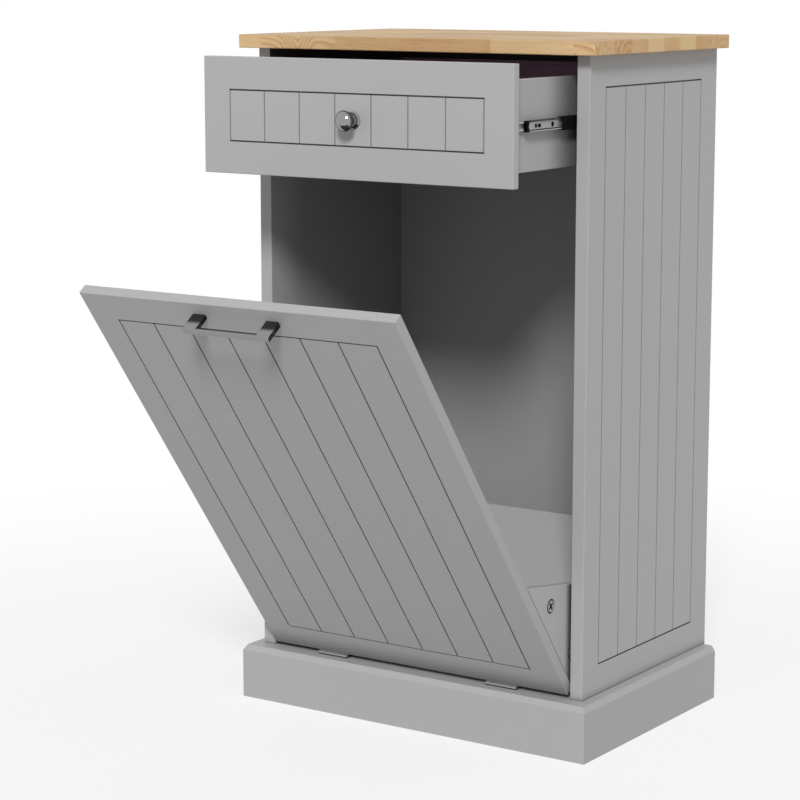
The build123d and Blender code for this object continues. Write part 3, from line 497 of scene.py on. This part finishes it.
def rubberwood(name):
    """Glued staves of rubberwood: growth rings in depth, pores along the grain, a tone for each piece."""
    wood = settings("wood")
    tooth, sway_reach, upper_fade = 4 * MM, 14 * MM, 0.65
    joint_from, joint_to = 0.490, 0.497
    finish = Finish(name, {"Specular IOR Level": 0.45})
    x, y, z = finish.axes()
    lane = y / wood.stave_width
    row = lane.math("FLOOR") + wood.seed * 17.0
    shift = finish.node("ShaderNodeTexWhiteNoise", {"noise_dimensions": "1D"}, {"W": row})
    teeth = (y / tooth).math("PINGPONG", 1.0) * tooth
    along = (x + teeth) / wood.stave_length + shift * 7.0
    column = along.math("FLOOR")
    piece = finish.node("ShaderNodeCombineXYZ", None, {"X": row, "Y": column})
    chance = finish.node("ShaderNodeTexWhiteNoise", {"noise_dimensions": "3D"}, {"Vector": piece},
                         out="Color")
    first, second, third = finish.parts(chance)
    sway = finish.noise((5.0, 22.0, 22.0)) - 0.5
    off = (along - column - 0.5) * wood.stave_length
    across = (lane.math("FRACT") - first) * wood.stave_width + (second - 0.5) * off * 0.5
    depth = z - cad_high.z + (4 + 40 * third) * MM
    swirl = ((off / wood.swirl_width) ** 2 * -1.0).math("EXPONENT") * wood.swirl_depth
    radius = (across * across + depth * depth).math("SQRT") + sway * sway_reach + swirl
    turn = radius / (wood.ring_width * (0.6 + 0.9 * first))
    ring = turn.math("FRACT")
    late = finish.ramp(ring, 0.30, 0.90) * (1 - finish.ramp(ring, 0.91, 1.0))
    figure = finish.ramp(second, 0.55, 0.85, 0.07, 0.62)
    pores = finish.ramp(finish.noise((38.0, 1300.0, 1300.0), detail=1.0), 0.58, 0.70)
    streak = finish.noise((7.0, 210.0, 210.0), detail=4.0, rough=0.65)
    cloud = finish.noise((14.0, 30.0, 30.0))
    joint = finish.ramp(abs(lane.math("FRACT") - 0.5), joint_from, joint_to)
    darker = (pores * 0.35 + (streak - 0.5) * 1.0 + (cloud - 0.5) * 0.5
              + (first - 0.5) * 0.70 + joint * 0.25 + 0.20)
    plain = finish.mix(darker, wood.light, wood.dark)
    # Painted shade: the upper face is darker than the edges by the top shade, for how light falls on the top; its
    # figure is also fainter there
    upper = finish.ramp(z, cad_high.z - 1.5 * MM, cad_high.z - 0.5 * MM)
    colour = finish.mix(late * figure * (1 - upper_fade * upper), plain, wood.red)
    warmth = finish.mix(third, (1.0, 0.98, 0.88), (1.0, 0.92, 0.94))
    finish.surface({
        "Base Color": finish.shade(finish.mix(0.8, colour, warmth, "MULTIPLY"), 1 - wood.top_shade * upper),
        "Roughness": 0.52 + 0.10 * pores + 0.06 * streak,
    })
    finish.bump(streak * 0.4 - pores - joint, 0.05 * MM)
    return finish.material


def plain_wood(name):
    """Beech of the hidden blocks and dowels: short flecks along a straight grain."""
    wood = settings("wood")
    finish = Finish(name, {"Roughness": 0.6})
    flecks = finish.ramp(finish.noise((60.0, 60.0, 900.0)), 0.52, 0.66)
    streak = finish.noise((8.0, 120.0, 120.0), detail=3.0)
    darker = flecks * 0.35 + streak * 0.4
    finish.surface({"Base Color": finish.mix(darker, wood.light, wood.dark)})
    finish.bump(streak - flecks, 0.04 * MM)
    return finish.material


def evenly(finish):
    """The same level everywhere."""
    return 1.0


def metal(name, tone, roughness, grain, stretch=(1.0, 1.0, 1.0), level_of=evenly):
    """Metal with a fine grain in its gloss and faint patches in its tone, times a level by place."""
    finish = Finish(name, {"Metallic": 1.0})
    fine = finish.noise(tuple(k / grain for k in stretch), detail=3.0)
    patches = finish.noise(140.0)
    finish.surface({
        "Base Color": finish.shade(tone, (0.97 + 0.06 * patches) * level_of(finish)),
        "Roughness": roughness * 0.8 + roughness * 0.4 * fine,
    })
    finish.bump(fine, 0.002 * MM)
    return finish.material


def cast_zinc(name, tone):
    """Die-cast zinc with a matt grain, painted black in its slots and round its edge: painted shade in its
    recesses.
    """
    finish = Finish(name, {"Specular IOR Level": 0.2})
    fine = finish.noise(1500.0, detail=3.0)
    hollow_shade = finish.node("ShaderNodeAttribute", {"attribute_name": "hollow_shade"}, out="Fac")
    finish.surface({
        "Base Color": finish.mix(hollow_shade, tone, (0.006, 0.006, 0.006)),
        "Metallic": 0.6 - 0.6 * hollow_shade,
        "Roughness": 0.42 + 0.12 * fine + 0.2 * hollow_shade,
    })
    finish.bump(fine, 0.01 * MM)
    return finish.material


def galvanised(name, tone, metallic, level_of):
    """Zinc-plated sheet: small crystals that differ a little in tone and gloss, times a level by place."""
    finish = Finish(name, {"Metallic": metallic, "Specular IOR Level": 0.3})
    crystal = finish.node("ShaderNodeTexVoronoi", {"feature": "F1"}, {"Vector": finish.place, "Scale": 420.0},
                          out="Color")
    chance = finish.parts(crystal)[0]
    fine = finish.noise(2600.0)
    finish.surface({
        "Base Color": finish.shade(tone, (0.93 + 0.14 * chance) * level_of(finish)),
        "Roughness": 0.34 + 0.12 * chance + 0.06 * fine,
    })
    finish.bump(fine, 0.003 * MM)
    return finish.material


def near_to(value, middle, reach):
    """1 where a value lies within a reach of a middle, else 0."""
    return abs(value - middle) < reach


def middle_member_painted_shade(finish):
    """Painted shade on the middle member: dark along its upper flange, in its lower corner and round its holes."""
    low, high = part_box("slide_middle_right")
    middle = (low.z + high.z) / 2
    x, y, z = finish.axes()
    skin, smear, slot_rim, slot_half, hole_rim = 0.05 * MM, 0.6 * MM, 0.6 * MM, 2.3 * MM, 0.7 * MM
    darkest = 0.92
    track = z > high.z - SLIDE_FLANGE - skin
    corner = near_to(z, low.z + SLIDE_FLANGE + 0.5 * MM, smear) * (abs(x) < high.x - 0.2 * MM)
    slots = [near_to(y, low.y + at, half + slot_rim) * near_to(z, middle, slot_half)
             for at, half in SLIDE_SLOTS]
    hole_at, hole_radius = SLIDE_HOLE
    along, up = y - (low.y + hole_at), z - middle
    dark = along * along + up * up < (hole_radius + hole_rim) ** 2
    for mask in (track, corner, *slots):
        dark = dark | mask
    return 1 - darkest * dark


def drawer_member_painted_shade(finish):
    """Painted shade on the drawer member: full tone in front of the middle member, dark behind it."""
    front, reach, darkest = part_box("slide_middle_right")[0].y, 1.5 * MM, 0.06
    return finish.ramp(finish.axes()[1], front - reach, front, 1.0, darkest)


def hinge_painted_shade(finish):
    """Painted shade: darker towards the underside of the knuckles."""
    low, dark_to, clear_from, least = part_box("hinge_pins")[0].z, 0.2 * MM, 1.0 * MM, 0.2
    return finish.ramp(finish.axes()[2], low + dark_to, low + clear_from, least, 1.0)


def moulded(name, tone):
    """Moulded plastic with a fine eroded grain."""
    finish = Finish(name, {"Specular IOR Level": 0.02})
    fine = finish.noise(1800.0, detail=3.0)
    finish.surface({
        "Base Color": finish.shade((tone, tone, tone), 0.85 + 0.3 * fine),
        "Roughness": 0.38 + 0.14 * fine,
    })
    finish.bump(fine, 0.01 * MM)
    return finish.material


def dress(names, material):
    """Puts a material on every slot of the named CAD nodes."""
    for name in names:
        mesh = frame["nodes"][name].data
        mesh.materials.clear()
        mesh.materials.append(material)


def merged(node):
    """A CAD node's mesh with its doubled corners merged, for measuring."""
    work = bmesh.new()
    work.from_mesh(frame["nodes"][node].data)
    bmesh.ops.remove_doubles(work, verts=work.verts, dist=0.002 * MM)
    return work


def fasteners(node):
    """The head centre, outward axis and sizes of each solid of a CAD node."""
    work = merged(node)
    seen, found = set(), []
    for start in work.verts:
        group, queue = [], [start]
        while queue:
            vertex = queue.pop()
            if vertex not in seen:
                seen.add(vertex)
                group.append(vertex)
                queue += [edge.other_vert(vertex) for edge in vertex.link_edges]
        if group:
            found.append(fastener(group))
    work.free()
    return found


def fastener(group):
    """Head centre, outward axis, length and end radii of one round solid, from its flat ends."""
    flats = {}
    for face in {face for vertex in group for face in vertex.link_faces}:
        key = tuple(round(part, 2) for part in face.normal)
        flats[key] = flats.get(key, Vector()) + face.normal * face.calc_area()
    axis = max(flats.values(), key=lambda flat: flat.length).normalized()
    side = axis.orthogonal().normalized()
    other = axis.cross(side)
    ends = []
    for way in (axis, -axis):
        reach = max(way.dot(vertex.co) for vertex in group)
        flat = [vertex.co for vertex in group if way.dot(vertex.co) > reach - 0.01 * MM]
        centre = way * reach
        for line in (side, other):
            along = [line.dot(point) for point in flat]
            centre += line * (min(along) + max(along)) / 2
        spread = max((point - centre).length for point in flat)
        ends.append((round(spread, 5), len(flat), way.copy(), centre, reach))
    ends.sort(key=lambda end: end[:2])
    tip, head = ends
    return head[3], head[2], head[4] + tip[4], head[0], tip[0]


def body_up(node):
    """The up direction of the board that a node's fasteners sit in."""
    return UP_DOOR if BODY_OF[node] == "door" else Z_AXIS


def facing(axis, up, turn):
    """Euler angles that point local Z along an axis, with local X turned from the board's up direction."""
    side = up if abs(axis.dot(up)) < 0.9 else Y_AXIS
    side = (side - axis * side.dot(axis)).normalized()
    square = Matrix((side, axis.cross(side), axis)).transposed()
    return (square @ Matrix.Rotation(turn, 3, "Z")).to_euler()


def linked(name, data):
    """A new object in the scene for a mesh, a lamp or a lens."""
    made = bpy.data.objects.new(name, data)
    bpy.context.scene.collection.objects.link(made)
    return made


def points(node, places, turns):
    """An object with a point at each place of a node, and the way that the point faces."""
    mesh = bpy.data.meshes.new(f"{node}_places")
    mesh.from_pydata(places, [], [])
    faces = mesh.attributes.new("facing", "FLOAT_VECTOR", "POINT")
    for i, turn in enumerate(turns):
        faces.data[i].vector = turn
    return linked(mesh.name, mesh)


def fastener_points(node, turn_step):
    """Points at a node's fasteners, each turned a step further, and the sizes of the first one."""
    found = fasteners(node)
    turns = [facing(axis, body_up(node), i * turn_step) for i, (_, axis, *_) in enumerate(found)]
    return points(node, [place for place, *_ in found], turns), found[0][2:]


class Geometry(Graph):
    """A Geometry Nodes tree with named inputs, one geometry in and one out."""

    def __init__(self, name, *lengths, **counts):
        tree = bpy.data.node_groups.new(name, "GeometryNodeTree")
        super().__init__(tree)
        kinds = {"Geometry": "NodeSocketGeometry", **dict.fromkeys(lengths, "NodeSocketFloat"), **counts,
                 "Material": "NodeSocketMaterial"}
        for label, kind in kinds.items():
            tree.interface.new_socket(label, in_out="INPUT", socket_type=kind)
        tree.interface.new_socket("Geometry", in_out="OUTPUT", socket_type="NodeSocketGeometry")
        self.entry = tree.nodes.new("NodeGroupInput")
        self.exit = tree.nodes.new("NodeGroupOutput")
        self.numbers = [self.given(label) for label in (*lengths, *counts)]

    def given(self, label):
        """A named input of the tree."""
        return Wire(self, self.entry.outputs[label])

    def moved(self, geometry, shift):
        return self.node("GeometryNodeTransform", None, {"Geometry": geometry, "Translation": shift})

    def vector(self, x=0.0, y=0.0, z=0.0):
        return self.node("ShaderNodeCombineXYZ", None, {"X": x, "Y": y, "Z": z})

    def cone(self, low_radius, high_radius, low, high, facets):
        """A solid of revolution between two heights."""
        made = self.node("GeometryNodeMeshCone", {"fill_type": "NGON"}, {
            "Vertices": facets, "Radius Top": high_radius, "Radius Bottom": low_radius, "Depth": high - low})
        return self.moved(made, self.vector(z=low))

    def cross(self, length, width, depth):
        """Two crossed bars round the origin, for a cross slot."""
        return [self.node("GeometryNodeMeshCube", None, {"Size": self.vector(x, y, depth * 2)})
                for x, y in ((length, width), (width, length))]

    def united(self, parts):
        return self.node("GeometryNodeMeshBoolean", {"operation": "UNION", "solver": "EXACT"},
                         {"Mesh 2": parts})

    def without(self, solid, cutters):
        return self.node("GeometryNodeMeshBoolean", {"operation": "DIFFERENCE", "solver": "EXACT"},
                         {"Mesh 1": solid, "Mesh 2": cutters})

    def marked(self, shape, mask):
        """Stores a mask on a shape for its material: 0 on its top, 1 on its lower faces, which get painted shade.
        """
        return self.node("GeometryNodeStoreNamedAttribute", {"data_type": "FLOAT", "domain": "FACE"},
                         {"Geometry": shape, "Name": "hollow_shade", "Value": mask})

    def below(self, level):
        """1 for what lies under a level, else 0."""
        return self.parts(self.node("GeometryNodeInputPosition"))[2] < level

    def finish_on_points(self, shape):
        """Sets the shape on every given point, the way that the point faces."""
        way = self.node("GeometryNodeInputNamedAttribute", {"data_type": "FLOAT_VECTOR"}, {"Name": "facing"})
        turn = self.node("FunctionNodeEulerToRotation", None, {0: way})
        placed = self.node("GeometryNodeInstanceOnPoints", None,
                           {"Points": self.given("Geometry"), "Instance": shape, "Rotation": turn})
        real = self.node("GeometryNodeRealizeInstances", None, {"Geometry": placed})
        coloured = self.node("GeometryNodeSetMaterial", None,
                             {"Geometry": real, "Material": self.given("Material")})
        self.feed(self.exit.inputs[0], coloured)


def screw_tree():
    """Screw with a cross recess: a head, a threaded shank and a point, head up at the origin."""
    tree = Geometry("Cross-head screw", "Head Radius", "Seat Radius", "Head Height", "Shank Radius",
                    "Length", "Turns", Facets="NodeSocketInt")
    head_r, seat_r, head_h, shank_r, length, turns, facets = tree.numbers
    rim = head_h * 0.14
    head = tree.cone(seat_r, head_r, -head_h, -rim, facets)
    cap = tree.cone(head_r, head_r * 0.95, -rim, 0.0, facets)
    recess = tree.cross(head_r * 1.15, head_r * 0.26, head_h * 0.55)
    crown = tree.without(tree.united([head, cap]), recess)
    point = shank_r * 2.2
    core_r = shank_r * 0.74
    steps = 12
    core = tree.cone(core_r, core_r, point - length, head_h * -0.8, steps)
    tip = tree.cone(0.0002 * MM, core_r, -length, point - length, steps)
    path = tree.node("GeometryNodeCurveSpiral", None, {
        "Resolution": steps, "Rotations": turns, "Start Radius": core_r, "End Radius": core_r,
        "Height": length - head_h - point})
    blade = tree.node("GeometryNodeCurvePrimitiveCircle", None, {"Resolution": 3, "Radius": shank_r * 0.25})
    thread = tree.node("GeometryNodeCurveToMesh", None,
                       {"Curve": path, "Profile Curve": blade, "Fill Caps": True})
    thread = tree.moved(thread, tree.vector(z=point - length))
    tree.finish_on_points(tree.node("GeometryNodeJoinGeometry", None,
                                    {"Geometry": [crown, core, tip, thread]}))
    return tree.tree


def cam_tree():
    """Cam lock: a disc with a stepped rim, a cross slot and an arrow that points at its bolt."""
    tree = Geometry("Cam lock", "Radius", "Depth", "Slot Length", "Slot Width", "Slot Depth", "Rim")
    radius, depth, slot_length, slot_width, slot_depth, lip = tree.numbers
    facets, step = 48, lip * 0.4
    disc = tree.cone(radius, radius, -depth, -step, facets)
    crown = tree.cone(radius - lip, radius - lip, -step, 0.0, facets)
    slots = tree.cross(slot_length, slot_width, slot_depth)
    arrow = tree.cone(radius * 0.13, radius * 0.13, radius * -0.05, radius * 0.05, 3)
    arrow = tree.moved(arrow, tree.vector(x=radius * 0.78))
    cut = tree.without(tree.united([disc, crown]), slots + [arrow])
    tree.finish_on_points(tree.marked(cut, tree.below(-0.02 * MM)))
    return tree.tree


def ball_tree():
    """Steel ball at every given point."""
    tree = Geometry("Slide ball", "Radius")
    ball = tree.node("GeometryNodeMeshIcoSphere", None, {"Radius": tree.numbers[0], "Subdivisions": 3})
    tree.finish_on_points(tree.node("GeometryNodeSetShadeSmooth", None, {"Geometry": ball}))
    return tree.tree


def grown(node, holder, tree, values, material):
    """Runs a tree on a node's places and keeps the result as one plain mesh that replaces the node."""
    modifier = holder.modifiers.new("Grow", "NODES")
    modifier.node_group = tree
    values = {**values, "Material": material}
    for item in tree.interface.items_tree:
        if item.in_out == "INPUT" and item.name in values:
            modifier[item.identifier] = values[item.name]
    holder.update_tag()
    graph = bpy.context.evaluated_depsgraph_get()
    graph.update()
    mesh = bpy.data.meshes.new_from_object(holder.evaluated_get(graph), depsgraph=graph)
    holder.modifiers.remove(modifier)
    bpy.data.objects.remove(holder)
    mesh.name = f"{node}_detail"
    piece = linked(mesh.name, mesh)
    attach(piece, BODY_OF[node])
    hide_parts(node)


class CABINET_OT_stage(Operator):
    """Makes the floor, the lights, the white surroundings and the camera"""

    bl_idname = "cabinet.stage"
    bl_label = "Stage"

    def execute(self, context):
        stage = settings("stage")
        scene = context.scene
        scene.view_settings.view_transform = "Standard"
        self.make_floor(stage)
        self.make_sky(scene, stage)
        key = bpy.data.lights.new("key", "SUN")
        key.energy = stage.key_power
        key.angle = stage.key_spread
        lamp = linked("key", key)
        level = math.cos(stage.key_height)
        towards = Vector((level * math.sin(stage.key_turn), -level * math.cos(stage.key_turn),
                          math.sin(stage.key_height)))
        lamp.rotation_euler = towards.to_track_quat("Z", "Y").to_euler()
        lamp.location = towards * 3
        lens = bpy.data.cameras.new("camera")
        lens.lens = stage.lens
        camera = linked("camera", lens)
        camera.location = stage.camera_place
        sight = Vector(stage.camera_aim) - Vector(stage.camera_place)
        camera.rotation_euler = sight.to_track_quat("-Z", "Y").to_euler()
        scene.camera = camera
        return {"FINISHED"}

    def seen_rays(self, graph):
        """1 for rays that the camera, gloss or clear material sends out, else 0."""
        path = graph.tree.nodes.new("ShaderNodeLightPath")
        camera, glossy, clear = (Wire(graph, path.outputs[f"Is {kind} Ray"])
                                 for kind in ("Camera", "Glossy", "Transmission"))
        return camera | glossy | clear

    def make_floor(self, stage):
        work = bmesh.new()
        bmesh.ops.create_circle(work, cap_ends=True, segments=96, radius=stage.floor_radius)
        material = bpy.data.materials.new("pale_floor")
        material.use_nodes = True
        graph = Graph(material.node_tree)
        seen = self.seen_rays(graph)
        tone = graph.mix(seen, (stage.floor_tone,) * 3, WHITE)
        matt = graph.node("ShaderNodeBsdfDiffuse", None, {"Color": tone})
        white = graph.node("ShaderNodeEmission", None, {"Color": WHITE, "Strength": 1.0})
        place = graph.node("ShaderNodeTexCoord", out="Object")
        off = graph.node("ShaderNodeVectorMath", {"operation": "LENGTH"}, {0: place}, out="Value")
        far = graph.ramp(off, 0.7, 1.8, 1 - stage.floor_shadow, 1.0)
        mixed = graph.node("ShaderNodeMixShader", None, {0: far * seen, 1: matt, 2: white})
        graph.node("ShaderNodeOutputMaterial", None, {"Surface": mixed})
        mesh = bpy.data.meshes.new("floor")
        work.to_mesh(mesh)
        work.free()
        mesh.materials.append(material)
        linked("floor", mesh)

    def make_sky(self, scene, stage):
        scene.world = bpy.data.worlds.new("sky")
        scene.world.use_nodes = True
        graph = Graph(scene.world.node_tree)
        seen = self.seen_rays(graph)
        even, white = (graph.node("ShaderNodeBackground", None, {"Color": WHITE, "Strength": strength})
                       for strength in (stage.sky_level, 1.0))
        mixed = graph.node("ShaderNodeMixShader", None, {0: seen, 1: even, 2: white})
        graph.node("ShaderNodeOutputWorld", None, {"Surface": mixed})


class CABINET_OT_boards(Operator):
    """Paints the cabinet's boards, its drawer box and the dark boards behind the drawer"""

    bl_idname = "cabinet.boards"
    bl_label = "Painted boards"

    def execute(self, context):
        paint = settings("paint")
        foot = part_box("plinth_front")[1].z
        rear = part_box("drawer_bay_back")[0].y + 2 * MM
        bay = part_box("drawer_front")[0].z
        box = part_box("side_panel_left")[0].y
        # Painted shade towards the plinth: full on the door and tray, lower and lighter on the side panels, with a
        # thin dark line at their joint with the plinth
        low = painted_foot_shade(foot, paint.foot_reach, paint.foot_shade, paint.fade)
        side_low = painted_foot_shade(foot, paint.foot_reach / 3, paint.foot_shade / 2, paint.fade / 2)
        finishes = {
            "plinth_board": (PLINTH, paint.plinth_tone, SATIN, ()),
            "tray_board": (TRAY, paint.tray_tone, SATIN, (
                painted_foot_shade(foot, paint.foot_reach, paint.foot_shade), seam("tray_gusset_right", INTO_DOOR),
                painted_gap_shade("tray_gusset_right", box))),
            "side_board": (SIDE_PANELS, paint.tone, SATIN, (
                side_low, painted_foot_shade(foot, 3 * MM, paint.joint_shade),
                beaded_side("side_panel_right", bay))),
            "door_board": (("door_panel",), paint.tone, SATIN,
                           (low, beaded("door_panel", INTO_DOOR, paint.door_groove_shade))),
            "front_board": (("drawer_front",), paint.tone, SATIN,
                            (beaded("drawer_front", Y_AXIS, paint.drawer_groove_shade),)),
            "inner_board": (INNER_BOARDS, paint.inner_tone, MATT, ()),
            # Painted shadow of the side panel on the drawer box, darkening it towards where it enters the cabinet
            "drawer_paint": (DRAWER_BOX, paint.drawer_tone, DULL_SATIN,
                             (painted_shade_behind(box - 60 * MM, box, 0.45),)),
            "bay_board": (("drawer_bay_back",), paint.bay_tone, MATT, (grey_behind(rear),)),
            "rail_board": (("top_rail",), paint.rail_tone, MATT, (lower_band, grey_behind(rear))),
        }
        for name, (nodes, tone, roughness, layers) in finishes.items():
            dress(nodes, board_paint(name, tone, roughness, *layers))
        return {"FINISHED"}


class CABINET_OT_timber(Operator):
    """Gives the worktop its rubberwood and the hidden blocks their beech"""

    bl_idname = "cabinet.timber"
    bl_label = "Timber"

    def execute(self, context):
        dress(("worktop",), rubberwood("rubberwood"))
        dress(BEECH, plain_wood("beech"))
        return {"FINISHED"}


class CABINET_OT_metalwork(Operator):
    """Finishes the slides, the hinges, the cam bolts and the plastic ends and cages"""

    bl_idname = "cabinet.metalwork"
    bl_label = "Slides and hinges"

    def execute(self, context):
        fittings = settings("fittings")
        for part, tone, metallic, level in (
                ("cabinet", fittings.zinc, 0.55, evenly),
                ("middle", fittings.zinc, 0.55, middle_member_painted_shade),
                ("drawer", fittings.painted_lit_zinc, 0.1, drawer_member_painted_shade)):
            dress([f"slide_{part}_{side}" for side in SIDES],
                  galvanised(f"zinc_{part}", tone, metallic, level))
        dress(HINGES, galvanised("hinge_zinc", fittings.hinge, 0.55, hinge_painted_shade))
        dress(CAM_BOLTS, metal("bolt_steel", fittings.steel, 0.3, 1.2 * MM))
        dress(BLACK_PLASTIC, moulded("black_plastic", 0.003))
        return {"FINISHED"}


class CABINET_OT_knob(Operator):
    """Finishes the drawer's chrome knob"""

    bl_idname = "cabinet.knob"
    bl_label = "Knob"

    def execute(self, context):
        low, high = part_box("drawer_knob")
        finish = Finish("chrome", {"Metallic": 1.0})
        x, y, z = finish.axes()
        out = high.y - y
        drop = z - (low.z + high.z) / 2
        radius = (x * x + drop * drop).math("SQRT")
        foot_end, neck_from, neck_to, head_from = 2.2 * MM, 3.4 * MM, 9.0 * MM, 10.0 * MM
        waist_at, waist_half = 6.2 * MM, 1.1 * MM
        face_edge, widest = 11.1 * MM, 12.3 * MM
        head_middle, head_front = 15 * MM, 16 * MM
        # Painted reflections: the neck is painted dark with a lighter band at its waist, and the rim of the head
        # is painted dark
        waist = near_to(out, waist_at, waist_half)
        neck = (finish.ramp(out, foot_end, neck_from) * (1 - finish.ramp(out, neck_to, head_from))
                * (1 - 0.9 * waist))
        rim = finish.ramp(radius, face_edge, widest) * finish.ramp(out, head_middle, head_front)
        fine = finish.noise(900.0)
        finish.surface({
            "Base Color": finish.shade(settings("fittings").chrome,
                                       1 - 0.72 * neck - 0.75 * rim * (1 - neck)),
            "Roughness": 0.05 + 0.04 * fine + 0.03 * neck,
        })
        finish.bump(fine, 0.001 * MM)
        dress(("drawer_knob",), finish.material)
        return {"FINISHED"}


class CABINET_OT_handle(Operator):
    """Finishes the door's pull handle in dark nickel"""

    bl_idname = "cabinet.handle"
    bl_label = "Pull handle"

    def execute(self, context):
        root = max(INTO_DOOR.dot(corner) for corner in corners_of("pull_handle"))
        half, edge, leg_depth = 9.5 * MM, 0.25 * MM, 22 * MM
        back_at, back_half, dark_to, clear_from = 23.4 * MM, 1.2 * MM, 12.2 * MM, 13.2 * MM
        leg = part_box("pull_handle")[1].x - half

        # Painted reflection and shade: the legs are darker near the door, as if mirroring its face, and the leg
        # sides, bar ends and the bar's rear are darker still
        def darker(finish):
            out = root - finish.along(INTO_DOOR)
            across = abs(finish.axes()[0])
            off = abs(across - leg)
            sides = near_to(off, half, edge) * (out < leg_depth)
            ends = (off > half - edge) * (across > leg)
            rear = (off > half) * near_to(out, back_at, back_half)
            return finish.ramp(out, dark_to, clear_from, 0.36, 1.0) * (1 - 0.62 * (sides | ends | rear))

        dress(("pull_handle",), metal("dark_nickel", settings("fittings").nickel, 0.13, 0.5 * MM,
                                      stretch=(0.05, 1.0, 1.0), level_of=darker))
        return {"FINISHED"}


class CABINET_OT_screws(Operator):
    """Grows threaded cross-head screws at the places of the CAD screws"""

    bl_idname = "cabinet.screws"
    bl_label = "Screws"

    def execute(self, context):
        fittings = settings("fittings")
        steel = metal("screw_steel", fittings.steel, 0.28, 0.8 * MM)
        tree = screw_tree()
        for node in COUNTERSUNK + PAN_HEADED:
            holder, (length, head_r, tip_r) = fastener_points(node, SCREW_TURN)
            pan = node in PAN_HEADED
            grown(node, holder, tree, {
                "Head Radius": head_r, "Seat Radius": head_r * 0.98 if pan else tip_r,
                "Head Height": PAN_HEIGHT if pan else (head_r - tip_r) * 0.9, "Shank Radius": tip_r,
                "Length": length, "Turns": float(fittings.thread_turns), "Facets": fittings.facets,
            }, steel)
        return {"FINISHED"}


class CABINET_OT_cam_locks(Operator):
    """Grows slotted cam locks at the places of the CAD cam locks"""

    bl_idname = "cabinet.cam_locks"
    bl_label = "Cam locks"

    def execute(self, context):
        cast = cast_zinc("cast_zinc", settings("fittings").steel)
        tree = cam_tree()
        for node in CAM_LOCKS:
            holder, (depth, radius, _) = fastener_points(node, 0.0)
            grown(node, holder, tree, {"Radius": radius, "Depth": depth, **CAM_SLOT}, cast)
        return {"FINISHED"}


class CABINET_OT_slide_balls(Operator):
    """Grows the steel balls in the slides' cages"""

    bl_idname = "cabinet.slide_balls"
    bl_label = "Slide balls"

    def execute(self, context):
        steel = metal("ball_steel", settings("fittings").steel, 0.1, 0.5 * MM)
        tree = ball_tree()
        for side in SIDES:
            node = f"slide_balls_{side}"
            low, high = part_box(node)
            radius = (high.x - low.x) / 2
            grown(node, points(node, ball_centres(node, radius), ()), tree, {"Radius": radius}, steel)
        return {"FINISHED"}


def ball_centres(node, radius):
    """The middle of each ball of a CAD node."""
    work = merged(node)
    centres = []
    for vertex in work.verts:
        if not any((vertex.co - centre).length < 1.2 * radius for centre in centres):
            centres.append(vertex.co - vertex.normal * radius)
    work.free()
    return centres


OPERATORS = (CABINET_OT_stage, CABINET_OT_boards, CABINET_OT_timber, CABINET_OT_metalwork, CABINET_OT_knob,
             CABINET_OT_handle, CABINET_OT_screws, CABINET_OT_cam_locks, CABINET_OT_slide_balls)


class CABINET_PT_sidebar(Panel):
    """Lists the cabinet's steps in the sidebar"""

    bl_label = "Kitchen Trash Cabinet"
    bl_space_type = "VIEW_3D"
    bl_region_type = "UI"
    bl_category = "Cabinet"

    def draw(self, context):
        for operator in OPERATORS:
            self.layout.operator(operator.bl_idname)


GROUPS = {"cabinet_stage": StageSettings, "cabinet_paint": PaintSettings, "cabinet_wood": WoodSettings,
          "cabinet_fittings": FittingSettings}


def register():
    for name, group in GROUPS.items():
        bpy.utils.register_class(group)
        setattr(bpy.types.Scene, name, PointerProperty(type=group))
    for kind in (*OPERATORS, CABINET_PT_sidebar):
        bpy.utils.register_class(kind)


def unregister():
    for kind in (CABINET_PT_sidebar, *reversed(OPERATORS)):
        bpy.utils.unregister_class(kind)
    for name, group in GROUPS.items():
        delattr(bpy.types.Scene, name)
        bpy.utils.unregister_class(group)


def main():
    """Runs every step in order."""
    register()
    for operator in OPERATORS:
        group, step = operator.bl_idname.split(".")
        getattr(getattr(bpy.ops, group), step)()


if __name__ == "__main__":
    main()
